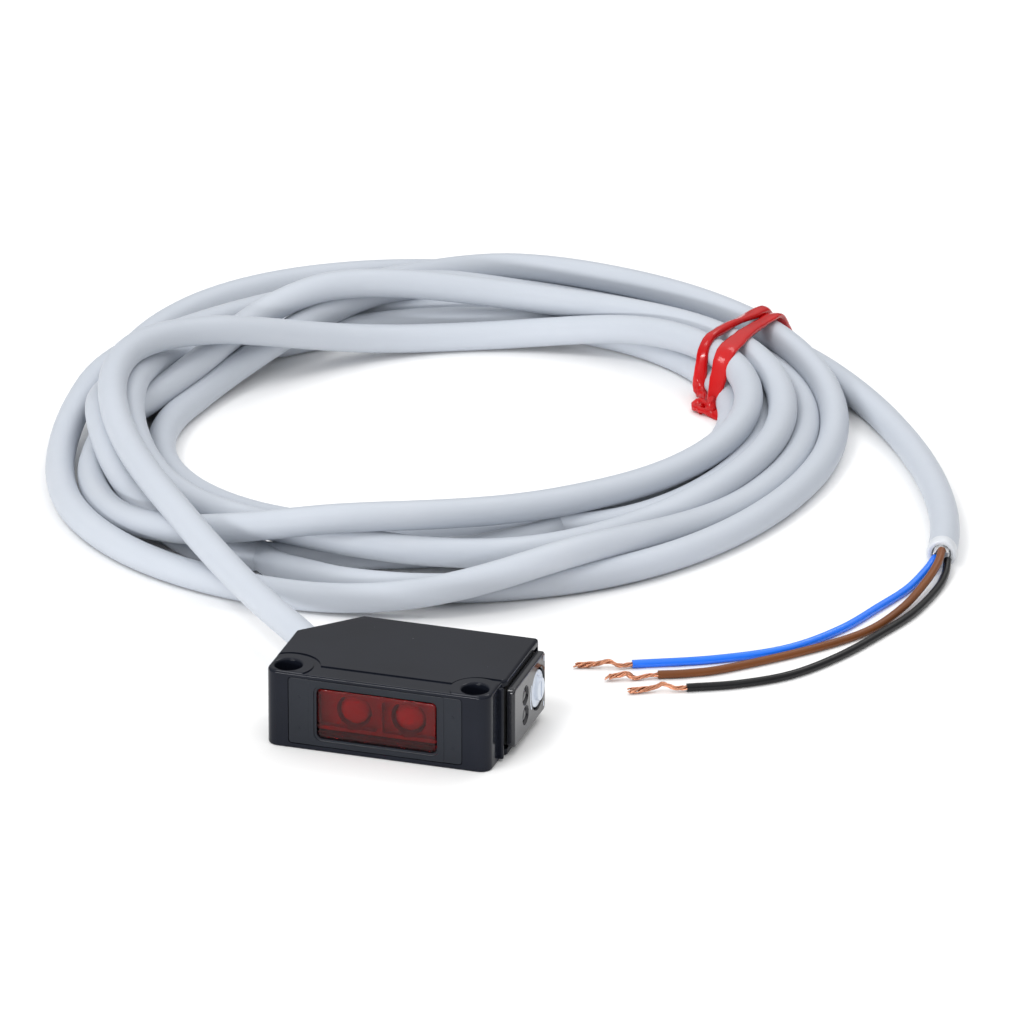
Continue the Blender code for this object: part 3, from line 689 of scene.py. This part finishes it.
def polish(piece, angle=32):
    """Smooth shading that keeps flat faces flat and sharp edges sharp."""
    shape = bmesh.new()
    shape.from_mesh(piece.data)
    bmesh.ops.remove_doubles(shape, verts=shape.verts, dist=0.000001)
    shape.to_mesh(piece.data)
    shape.free()
    piece.data.shade_smooth()
    piece.data.set_sharp_from_angle(angle=math.radians(angle))
    weighted = piece.modifiers.new("weighted", "WEIGHTED_NORMAL")
    weighted.keep_sharp = True
    bake(piece)
    return piece


def cord_curve(name, line, diameter, sides=5):
    """Round cord along points, with closed ends."""
    curve = bpy.data.curves.new(name, "CURVE")
    curve.dimensions = "3D"
    curve.bevel_depth = diameter / 2 * MM
    curve.bevel_resolution = sides
    curve.use_fill_caps = True
    add_strand(curve, line)
    return add(name, curve)


def add_strand(curve, line):
    """One open spline of a cord or of a bundle of strands."""
    spline = curve.splines.new("POLY")
    spline.points.add(len(line) - 1)
    for target, point in zip(spline.points, line):
        target.co = (*(float(value) * MM for value in point), 1)
    spline.use_smooth = True


# Sensor

def make_housing():
    """Case with its front frame, hole bosses, plateau step, rib and end recess."""
    corners = (
        (LEFT, FRONT), (FRAME_RIGHT, FRONT), (FRAME_RIGHT, STEP_OUT - 0.7), (RIGHT, STEP_OUT),
        (RIGHT, BACK), (LEFT + CHAMFER, BACK), (LEFT, BACK - CHAMFER),
    )
    radii = (1.6, 1.6, 0.3, 0.3, 0.4, 0.45, 0.45)
    case = slab("housing_shell", corners, radii, BASE, TOP, "XY", 0.25, TOP_EDGE)
    rib = slab("rib", rectangle(*RIB), 0.25, BASE + 0.3, TOP - 0.45, "XY", 0.15, 0.25)
    lip = slab("lip", rectangle(*LIP), 0.2, BASE + 0.5, TOP - 0.9, "XY", 0.1, 0.1)
    combine(case, "UNION", rib, lip)
    band = slab("band", band_corners(), 0.01, TOP - BAND_DEPTH, TOP + OVERCUT)
    discs = [
        turned("disc", ((BOSS_RADIUS, -OVERCUT), (BOSS_RADIUS, 2 * OVERCUT)), (x, HOLE_Y, TOP), (0, 0, 1),
               steps=96)
        for x in HOLE_X
    ]
    combine(band, "DIFFERENCE", *discs)
    cavity = slab("cavity", cavity_corners(0.0), 0.2, BASE - OVERCUT, TOP - WALL)
    skin_low = (SKIN_LEFT - SKIN_GAP, SKIN_LOW - SKIN_GAP)
    skin_high = (SKIN_RIGHT + SKIN_GAP, SKIN_HIGH + SKIN_GAP)
    skin_seat = slab(
        "skin_seat", rectangle(skin_low, skin_high), 0.5, FRONT - OVERCUT, FRONT + SKIN_DEPTH + 0.05, "XZ"
    )
    cover_seat = slab(
        "cover_seat",
        rectangle((COVER_LOW.x - GAP, COVER_RAIL), (COVER_HIGH.x + GAP, TOP - COVER_RAIL)),
        COVER_SEAT_CORNER, FRONT - OVERCUT, COVER_HIGH.y + GAP, "XZ",
    )
    gasket_seat = slab(
        "gasket_seat",
        rectangle((COVER_LOW.x + GASKET_INSET, GASKET_RAIL),
                  (COVER_HIGH.x - GASKET_INSET, TOP - GASKET_RAIL)),
        COVER_SEAT_CORNER, FRONT - 1.5 * OVERCUT, GASKET_SEAT, "XZ",
    )
    light_way = slab("light_way", rectangle(*LIGHT_WAY), 0.4, FRONT - 2 * OVERCUT, LIGHT_WAY_BACK, "XZ")
    panel_seat = slab(
        "panel_seat",
        rectangle((PANEL_LOW.y - GAP, PANEL_LOW.z - GAP), (PANEL_HIGH.y + GAP, PANEL_HIGH.z + GAP)),
        0.6, PANEL_SEAT, RIGHT + 2 * OVERCUT, "YZ",
    )
    panel_way = slab(
        "panel_way", rectangle(*PANEL_WAY), 0.6, RIGHT - 2 * OVERCUT, RIGHT + 2 * OVERCUT, "YZ"
    )
    bush_seat = BUSH_RADIUS + GAP
    cable_way = turned("cable_way", ((bush_seat, -WALL - OVERCUT), (bush_seat, OVERCUT)), EXIT, OUTWARD)
    combine(
        case, "DIFFERENCE", band, cavity, skin_seat, cover_seat, gasket_seat, light_way, panel_seat,
        panel_way, cable_way,
    )
    rim = HOLE_RADIUS + HOLE_RIM
    flare = []
    for step in range(EDGE_STEPS + 1):
        turn = math.pi / 2 * step / EDGE_STEPS
        flare.append((rim - HOLE_RIM * math.sin(turn), HOLE_RIM * (1 - math.cos(turn))))
    for x in HOLE_X:
        profile = [(rim, BASE - OVERCUT)] + [(radius, BASE + depth) for radius, depth in flare]
        profile += [(radius, TOP - depth) for radius, depth in reversed(flare)] + [(rim, TOP + OVERCUT)]
        hole = turned("hole", profile, (x, HOLE_Y, 0), (0, 0, 1), steps=72)
        combine(case, "DIFFERENCE", hole)
    polish(case)
    return keep(case, "case", nodes=("housing",))


def band_corners():
    """The lower band along the front: its inner line runs round both holes."""
    corners = [(LEFT - 1, FRONT - 1), (RIGHT + 1, FRONT - 1)]
    right, left = Vector((HOLE_X[1] + 0.3, HOLE_Y - 0.2)), Vector((HOLE_X[0] + 0.2, HOLE_Y - 0.3))
    corners.append((RIGHT + 1, right.y + BAND_RIGHT))
    for centre, radius, first, last in (
        (right, BAND_RIGHT, math.pi / 2, math.pi - math.asin((BAND_LINE - right.y) / BAND_RIGHT)),
        (left, BAND_LEFT, math.asin((BAND_LINE - left.y) / BAND_LEFT), math.radians(128)),
    ):
        for step in range(ARC_STEPS + 1):
            angle = first + (last - first) * step / ARC_STEPS
            corners.append((centre.x + radius * math.cos(angle), centre.y + radius * math.sin(angle)))
    corners.append((LEFT - 1, corners[-1][1] - 0.8))
    return corners


def cavity_corners(inset):
    """Inside of the case from above, as in the part."""
    slant = WALL * math.sqrt(2) + inset * (math.sqrt(2) - 1)
    left = LEFT + WALL + inset
    back = BACK - WALL - inset
    return (
        (POCKET_LEFT + inset, POCKET_FRONT + inset),
        (POCKET_RIGHT - inset, POCKET_FRONT + inset),
        (POCKET_RIGHT - inset, POCKET_BACK + inset),
        (RIGHT - END_WALL - inset, POCKET_BACK + inset),
        (RIGHT - END_WALL - inset, back),
        (LEFT + CHAMFER - WALL - inset + slant, back),
        (left, BACK - CHAMFER + WALL + inset - slant),
        (left, POCKET_BACK + inset),
        (POCKET_LEFT + inset, POCKET_BACK + inset),
    )


def make_side_cover():
    """Cover pressed into the open side of the case, with a sunk field."""
    cover = slab("side_cover_plate", cavity_corners(GAP), 0.2, BASE, BASE + WALL, "XY", 0.12, 0.1)
    field = slab("field", rectangle(*SIDE_FIELD), 1.0, BASE - OVERCUT, BASE + SIDE_FIELD_DEPTH, "XY")
    combine(cover, "DIFFERENCE", field)
    polish(cover)
    keep(cover, "case", nodes=("side_cover",))


def make_lens_cover():
    """Wide thin skin over the front, with the window frame raised a little in its middle."""
    skin = slab(
        "lens_cover_skin", rectangle((SKIN_LEFT, SKIN_LOW), (SKIN_RIGHT, SKIN_HIGH)), SKIN_CORNER,
        FRONT, FRONT + SKIN_DEPTH, "XZ", 0.10, 0.0,
    )
    body = slab(
        "cover_body", rectangle((COVER_LOW.x, COVER_LOW.z), (COVER_HIGH.x, COVER_HIGH.z)), 0.5,
        FRONT + 0.2, COVER_HIGH.y, "XZ",
    )
    centre = slab(
        "cover_centre", rectangle((CENTRE_LEFT, SKIN_LOW + 0.03), (CENTRE_RIGHT, SKIN_HIGH - 0.03)), 0.3,
        FRONT - CENTRE_RISE, FRONT + 0.3, "XZ", 0.06, 0.0,
    )
    marks = [
        slab("mark", ((x - MARK_HALF, z - 0.2), (x + MARK_HALF, z - 0.2), (x, z + 0.25)), 0.05,
             FRONT - 0.04, FRONT + 0.2, "XZ", 0.03, 0.0)
        for x in MARK_X for z in MARK_Z
    ]
    combine(skin, "UNION", body, centre, *marks)
    hole = slab(
        "window_way", rectangle((WINDOW_LOW.x, WINDOW_LOW.z), (WINDOW_HIGH.x, WINDOW_HIGH.z)),
        WINDOW_CORNER, FRONT - OVERCUT, COVER_HIGH.y + OVERCUT, "XZ",
    )
    low = WINDOW_LOW - Vector((WINDOW_FLARE, 0, WINDOW_FLARE))
    high = WINDOW_HIGH + Vector((WINDOW_FLARE, 0, WINDOW_FLARE))
    flare = slab(
        "window_flare", rectangle((low.x, low.z), (high.x, high.z)), WINDOW_CORNER + 0.3,
        FRONT - 0.5, FRONT + 0.12, "XZ", 0.0, 0.12,
    )
    combine(skin, "DIFFERENCE", hole, flare)
    polish(skin)
    return keep(skin, "lens_cover", nodes=("lens_cover",))


def make_window():
    """Red filter with rounded rims, and the two moulded lenses behind it."""
    low, high = cad_size("window_filter")
    pane = slab(
        "window_pane", rectangle((low.x, low.z), (high.x, high.z)), 0.6,
        low.y + 0.05, high.y, "XZ", 0.15, 0.05,
    )
    polish(pane)
    keep(pane, "window", nodes=("window_filter",))
    for role in ("emitter", "receiver"):
        low, high = cad_size(role + "_lens")
        middle = (low + high) / 2
        radius = (high.x - low.x) / 2
        depth = high.y - low.y
        profile = [(radius, -depth / 2)]
        for step in range(LENS_STEPS):
            turn = math.pi / 2 * step / LENS_STEPS
            profile.append((radius * 0.94 * math.cos(turn), depth * (0.5 * math.sin(turn))))
        lens = turned(role + "_lens_dome", profile, middle, (0, -1, 0), steps=72)
        polish(lens)
        keep(lens, "lens", nodes=(role + "_lens",))


def make_end():
    """Smoked end panel, its two domed light guides and the pale marks round the adjuster."""
    panel = slab(
        "end_panel_smoked", rectangle((PANEL_LOW.y, PANEL_LOW.z), (PANEL_HIGH.y, PANEL_HIGH.z)),
        PANEL_CORNER, PANEL_LOW.x, PANEL_HIGH.x, "YZ", 0.05, PANEL_EDGE,
    )
    way = KNOB_RADIUS + GAP
    knob_way = turned(
        "knob_way", ((way, -2 * OVERCUT), (way, -0.15), (way + 0.12, 0.0), (way + 0.12, OVERCUT)),
        (PANEL_HIGH.x, KNOB_MIDDLE.y, MID), (1, 0, 0),
    )
    cutters = [knob_way]
    for level in ("upper", "lower"):
        low, high = cad_size("light_guide_" + level)
        middle = (low + high) / 2
        cutters.append(turned(
            "guide_way",
            ((GUIDE_WAY, -2 * OVERCUT), (GUIDE_WAY, -0.35), (GUIDE_FLARE, 0.0), (GUIDE_FLARE, OVERCUT)),
            (PANEL_HIGH.x, middle.y, middle.z), (1, 0, 0),
        ))
    combine(panel, "DIFFERENCE", *cutters)
    polish(panel)
    keep(panel, "end_panel", nodes=("end_panel",))
    for level in ("upper", "lower"):
        low, high = cad_size("light_guide_" + level)
        middle = (low + high) / 2
        shoulder = PANEL_HIGH.x - 0.7
        profile = [(GUIDE_STEM, low.x), (GUIDE_STEM, shoulder - 0.05), (GUIDE_DOME, shoulder)]
        for step in range(GUIDE_STEPS):
            turn = math.pi / 2 * step / GUIDE_STEPS
            profile.append((GUIDE_DOME * math.cos(turn), shoulder + 0.1 + 0.5 * math.sin(turn)))
        guide = turned("light_dome_" + level, profile, (0, middle.y, middle.z), (1, 0, 0), steps=48)
        polish(guide)
        keep(guide, "end_panel", nodes=("light_guide_" + level,))
    make_marks()


def make_marks():
    """Pale arc that shows the adjuster's travel, with a tick at each end."""
    face = PANEL_HIGH.x
    ring = []
    for side, radius in ((1, MARK_REACH - MARK_WIDTH / 2), (-1, MARK_REACH + MARK_WIDTH / 2)):
        for step in range(ARC_STEPS + 1)[::side]:
            angle = math.radians(MARK_FIRST + MARK_TURN * step / ARC_STEPS)
            ring.append((KNOB_MIDDLE.y + radius * math.cos(angle), MID + radius * math.sin(angle)))
    arc = loft("adjuster_marks", [[(x, y, z) for y, z in ring] for x in (face - 0.05, face + MARK_HEIGHT)])
    ticks = [
        slab("tick", rectangle(low, high), 0.1, face - 0.05, face + MARK_HEIGHT, "YZ") for low, high in TICKS
    ]
    combine(arc, "UNION", *ticks)
    keep(arc, "adjuster")


def make_adjuster():
    """Turning adjuster: flange, slotted boss with an arrow notch, and a stem."""
    face = KNOB_HIGH.x
    back = PANEL_LOW.x + 0.15
    profile = [
        (STEM, KNOB_LOW.x), (STEM, back), (KNOB_RADIUS, back), (KNOB_RADIUS, FLANGE - 0.15),
        (KNOB_RADIUS - 0.05, FLANGE - 0.05), (KNOB_RADIUS - 0.15, FLANGE), (BOSS + 0.12, FLANGE),
        (BOSS + 0.03, FLANGE + 0.04), (BOSS, FLANGE + 0.12), (BOSS, face - 0.14),
        (BOSS - 0.04, face - 0.05), (BOSS - 0.14, face),
    ]
    middle = Vector((KNOB_MIDDLE.y, MID))
    knob = turned("adjuster_dial", profile, (0, *middle), (1, 0, 0), steps=96)
    half = Vector(SLOT_HALF)
    slot = slab(
        "slot", rectangle(middle - half, middle + half), 0.2, face - SLOT_DEPTH, face + OVERCUT, "YZ"
    )
    tip = middle + Vector((0, BOSS + 0.75))
    foot = Vector((0.25, 0.55))
    notch_corners = (tip - foot, tip + Vector((foot.x, -foot.y)), tip)
    notch = slab("notch", notch_corners, 0.05, FLANGE - 0.1, FLANGE + OVERCUT, "YZ")
    combine(knob, "DIFFERENCE", slot, notch)
    polish(knob)
    keep(knob, "adjuster", ADJUSTER, ("adjuster_knob",))


def make_bush():
    """Rubber bush that the cable comes through, with a soft lip."""
    bore = CABLE_DIAMETER / 2 + 0.06
    profile = (
        (BUSH_RADIUS, -WALL), (bore, -WALL), (bore, 0.0), (bore + 0.08, 0.14), (bore + 0.25, BUSH_LIP),
        (BUSH_RADIUS - 0.25, BUSH_LIP), (BUSH_RADIUS - 0.05, 0.12), (BUSH_RADIUS, -0.05),
    )
    bush = turned("cable_bush_lip", profile, EXIT, OUTWARD, closed=True)
    polish(bush, 50)
    keep(bush, "gasket", nodes=("cable_bush",))


# Cable

def make_cable():
    """The sheathed cable in one piece, from the case to its stripped end."""
    inside = EXIT - OUTWARD * INNER_CABLE
    line = np.vstack(([tuple(inside)], cable_line[:-1], [cable_line[-1] * 0.35 + cable_line[-2] * 0.65]))
    cable = cord_curve("cable", line, CABLE_DIAMETER, 9)
    return keep(cable, "cable_sheath", nodes=("cable_lead", "cable_coil", "cable_tail"))


def make_sheath_end():
    """Cut rim of the sheath, with the crumpled filler round the cores."""
    end = Vector(cable_line[-1])
    along = (end - Vector(cable_line[-3])).normalized()
    radius = CABLE_DIAMETER / 2
    profile = (
        (radius, -RIM_DEPTH), (RIM_BORE, -RIM_DEPTH), (RIM_BORE + 0.03, -0.2), (RIM_BORE + 0.11, 0.0),
        (RIM_BORE + 0.25, 0.1), (radius - 0.22, 0.12), (radius - 0.08, 0.06), (radius + 0.01, -0.12),
    )
    rim = turned("sheath_rim", profile, end, along, closed=True)
    polish(rim, 60)
    keep(rim, "cable_sheath", material=MATERIALS["cable_rim"])
    rings = []
    wobble = random.Random(7)
    for level in range(FILLER_LEVELS):
        ring = []
        top = level == FILLER_LEVELS - 1
        reach = FILLER_REACH if level < 6 else FILLER_REACH - 0.1
        for step in range(FILLER_STEPS):
            angle = math.tau * step / FILLER_STEPS
            crease = 0.06 * math.sin(7 * angle + level * 0.7) + 0.6 * wobble.uniform(-0.05, 0.05)
            push = wobble.uniform(-0.12, 0.22) if top else 0.0
            ring.append((reach + crease, angle, level * FILLER_RISE - RIM_DEPTH + push))
        rings.append(ring)
    for ring in rings[::-1]:
        rings.append([(reach - FILLER_WALL, angle, lift) for reach, angle, lift in ring])
    turn_to = along.to_track_quat("Z", "Y")
    points = [
        [end + turn_to @ Vector((reach * math.cos(angle), reach * math.sin(angle), lift))
         for reach, angle, lift in ring]
        for ring in rings
    ]
    filler = loft("cable_filler", points, closed=True)
    polish(filler, 30)
    keep(filler, "cable_sheath", material=MATERIALS["filler"])
    return [rim, filler]


def make_core(colour):
    """One insulated core along its route, and its bare twisted strands."""
    line = smooth_route(CORE_ROUTES[colour], CORE_STEP)
    core = cord_curve("core_" + colour + "_wire", line, CORE_DIAMETER, 6)
    keep(core, "core_" + colour, nodes=("core_" + colour,))
    ends = smooth_route(COPPER_ROUTES[colour], STRAND_STEP)
    curve = bpy.data.curves.new("copper_strands_" + colour, "CURVE")
    curve.dimensions = "3D"
    curve.bevel_depth = STRAND_RADIUS * MM
    curve.bevel_resolution = 2
    curve.use_fill_caps = True
    luck = random.Random("copper " + colour)
    for strand in range(STRANDS):
        phase = math.tau * strand / STRANDS
        ring = 0.0 if strand == 0 else 1.0
        cut = len(ends) - luck.randrange(0, 9)
        wander = luck.uniform(0, math.tau)
        points = []
        for index in range(cut):
            share = index / len(ends)
            spread = STRAND_SPREAD - 0.05 * math.sin(math.pi * min(1, share * 2.2))
            spread += STRAND_SPLAY * max(0.0, share - 0.35) + 0.06 * math.sin(9 * share + wander)
            ahead = Vector(ends[min(index + 1, len(ends) - 1)]) - Vector(ends[max(index - 1, 0)])
            ahead.normalize()
            side = ahead.cross(Vector((0, 0, 1))).normalized()
            up = side.cross(ahead)
            angle = phase + index * STRAND_TWIST + 0.5 * math.sin(5 * share + wander)
            offset = (side * math.cos(angle) + up * math.sin(angle) * 0.8) * spread * ring
            point = Vector(ends[index]) + offset
            point.z = max(point.z, STRAND_RADIUS + 0.02)
            points.append(point)
        add_strand(curve, points)
    strands = add("copper_strands_" + colour, curve)
    keep(strands, "copper", nodes=("copper_end_" + colour,))
    return core, strands, float(np.linalg.norm(np.diff(line, axis=0), axis=1).sum())


# Tie

def hull(points):
    """Convex hull of points in a plane, anticlockwise."""
    ordered = sorted(points)
    halves = []
    for run in (ordered, list(reversed(ordered))):
        half = []
        for point in run:
            while len(half) > 1 and (
                (half[-1][0] - half[-2][0]) * (point[1] - half[-2][1])
                - (half[-1][1] - half[-2][1]) * (point[0] - half[-2][0])
            ) <= 0:
                half.pop()
            half.append(point)
        halves += half[:-1]
    return halves


def wrap_route(start, end, lift):
    """Loop drawn tight round the strands where an upright plane cuts the coil."""
    start, end = Vector((*start, 0)), Vector((*end, 0))
    along = (end - start).normalized()
    normal = along.cross(Vector((0, 0, 1)))
    middle = (start + end) / 2
    reach = (end - start).length / 2 + 3.5
    rounds = []
    for here, there in zip(cable_line, cable_line[1:]):
        before = (Vector(here) - middle).dot(normal)
        after = (Vector(there) - middle).dot(normal)
        if before * after > 0 or before == after:
            continue
        point = Vector(here).lerp(Vector(there), before / (before - after)) - middle
        if abs(point.dot(along)) > reach:
            continue
        slant = abs((Vector(there) - Vector(here)).normalized().dot(normal))
        radius = CABLE_DIAMETER / 2 + lift
        for step in range(24):
            angle = math.tau * step / 24
            reach_along = radius / max(slant, 0.6) * math.cos(angle)
            rounds.append((point.dot(along) + reach_along, point.z + radius * math.sin(angle)))
    ring = hull(rounds)
    return [middle + along * s + Vector((0, 0, max(z, 0.45))) for s, z in ring]


def ribbon(name, route, widths, closed, seed):
    """Coated strip along a route: an oval section that keeps its flat to the bundle."""
    line = [Vector(point) for point in route]
    luck = random.Random(seed)
    count = len(line)
    centre = sum(line, Vector()) / count
    rings = []
    phase = luck.uniform(0, math.tau)
    for index, here in enumerate(line):
        before = line[index - 1] if index or closed else here
        after = line[(index + 1) % count] if index < count - 1 or closed else here
        ahead = (after - before).normalized()
        out = here - centre
        out = (out - ahead * out.dot(ahead)).normalized()
        side = ahead.cross(out)
        share = index / count
        turn = widths[2] * math.sin(math.tau * 2 * share + phase)
        across, through = widths[0] / 2, widths[1] / 2
        across *= 1 + 0.14 * math.sin(math.tau * 3 * share + phase) + luck.uniform(-0.05, 0.05)
        through *= 1 + 0.12 * math.sin(math.tau * 5 * share + phase) + luck.uniform(-0.06, 0.06)
        if not closed and index in (0, count - 1):
            across *= 0.72
            through *= 0.6
        ring = []
        for step in range(16):
            angle = math.tau * step / 16
            u = across * math.copysign(abs(math.cos(angle)) ** 0.75, math.cos(angle))
            v = through * math.copysign(abs(math.sin(angle)) ** 0.75, math.sin(angle))
            u, v = u * math.cos(turn) - v * math.sin(turn), u * math.sin(turn) + v * math.cos(turn)
            point = here + side * u + out * v
            point.z = max(point.z, 0.02)
            ring.append(point)
        rings.append(ring)
    piece = loft(name, rings, closed)
    polish(piece, 50)
    return piece


TIE_LIFT = 0.42               # the tie's middle over the strands
TIE_STEP = 0.8
TIE_WRAPS = {                 # start and end of the line across the coil, widths and seed
    "left": ((3.8, 112.8), (8.9, 130.4), (1.7, 1.1, 0.45), 3),
    "right": ((8.4, 111.4), (10.9, 130.0), (2.3, 0.9, 0.2), 5),
}
TIE_KNOT = (-0.1, -0.9, -1.0)
TIE_TAILS = {                 # steps from the wrap, steps from the knot, and seed
    "left": (((0, 0, 0.8), (0.5, -0.6, -0.8)),
             ((0, 0, 0), (0.2, -1.6, -0.6), (1.8, -2.4, -1.4), (3.6, -2.9, -1.7)), 11),
    "right": (((0, 0, 0.8), (-0.2, -0.7, -0.9)),
              ((0.5, -0.6, 0.1), (-0.8, -1.0, -0.3), (0.2, -2.0, -0.9)), 13),
}
TIE_TAIL_WIDTHS = (1.6, 1.0, 0.9)
TIE_TAIL_LOW = 0.6


def make_tie():
    """Two wraps of red coated strip, twisted together on the inner side of the coil."""
    pieces = []
    inner = {}
    for side, (start, end, widths, seed) in TIE_WRAPS.items():
        route = wrap_route(start, end, TIE_LIFT)
        loop = resample([*route, route[0]], TIE_STEP)[:-1]
        pieces.append(keep(ribbon("tie_wrap_" + side, loop, widths, True, seed), "tie"))
        inner[side] = min(route, key=lambda point: point.y)
    knot = (inner["left"] + inner["right"]) / 2 + Vector(TIE_KNOT)
    for side, (from_wrap, from_knot, seed) in TIE_TAILS.items():
        route = [inner[side] + Vector(step) for step in from_wrap]
        route += [knot + Vector(step) for step in from_knot]
        line = smooth_route(route, TIE_STEP / 2)
        line[:, 2] = np.maximum(line[:, 2], TIE_TAIL_LOW)
        pieces.append(keep(ribbon("tie_tail_" + side, line, TIE_TAIL_WIDTHS, False, seed), "tie"))
    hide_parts("coil_tie")
    return pieces


# Stage

def make_stage():
    """Plain pale floor under soft studio light."""
    mesh = bpy.data.meshes.new("floor")
    shape = bmesh.new()
    bmesh.ops.create_grid(shape, x_segments=2, y_segments=2, size=6.0)
    shape.to_mesh(mesh)
    shape.free()
    floor = add("floor", mesh)
    material, tree, shader = node_material("floor_white", (0.93, 0.93, 0.93), 0.8)
    shader.inputs["Specular IOR Level"].default_value = 0.1
    tones = ((0.3, (0.925, 0.925, 0.925)), (0.7, (0.935, 0.935, 0.935)))
    tree.links.new(ramp(tree, noise(tree, 3.0), tones), shader.inputs["Base Color"])
    mesh.materials.append(material)
    make_sky()
    bpy.context.scene.view_settings.view_transform = "Standard"
    lights = (
        ("key_softbox", (-0.33, -0.48, 1.05), (0.35, 0.35), 3.2),
        ("front_strip", (-0.25, -1.15, 0.24), (0.7, 0.10), 7.5),
        ("back_softbox", (0.25, 0.75, 1.0), (0.6, 0.4), 2.4),
    )
    for name, spot, size, power in lights:
        data = bpy.data.lights.new(name, "AREA")
        data.shape = "RECTANGLE"
        data.size, data.size_y = size
        data.energy = power
        lamp = add(name, data)
        lamp.location = spot
        aim = Vector((0.0, 0.03, 0)) - Vector(spot)
        lamp.rotation_euler = aim.to_track_quat("-Z", "Y").to_euler()


def make_sky():
    """Light from all round: dim at the horizon, bright overhead."""
    world = bpy.data.worlds.new("studio")
    bpy.context.scene.world = world
    world.use_nodes = True
    tree = world.node_tree
    background = tree.nodes["Background"]
    background.inputs["Color"].default_value = (1, 1, 1, 1)
    direction = tree.nodes.new("ShaderNodeTexCoord")
    split = tree.nodes.new("ShaderNodeSeparateXYZ")
    tree.links.new(direction.outputs["Generated"], split.inputs["Vector"])
    strength = span(tree, split.outputs["Z"], 0.22, 1.15, 0.15, 0.75)
    tree.links.new(strength, background.inputs["Strength"])


make_stage()
cable = make_cable()
rims = make_sheath_end()
cores = {colour: make_core(colour) for colour in CORE_ROUTES}
ties = make_tie()
make_housing()
make_side_cover()
make_lens_cover()
make_window()
make_end()
make_adjuster()
make_bush()
for node, thing in frame["nodes"].items():
    for entry in frame["record"]["subparts"]:
        if entry["node"] == node:
            thing.data.materials.clear()
            thing.data.materials.append(MATERIALS[entry["material_slot"]])
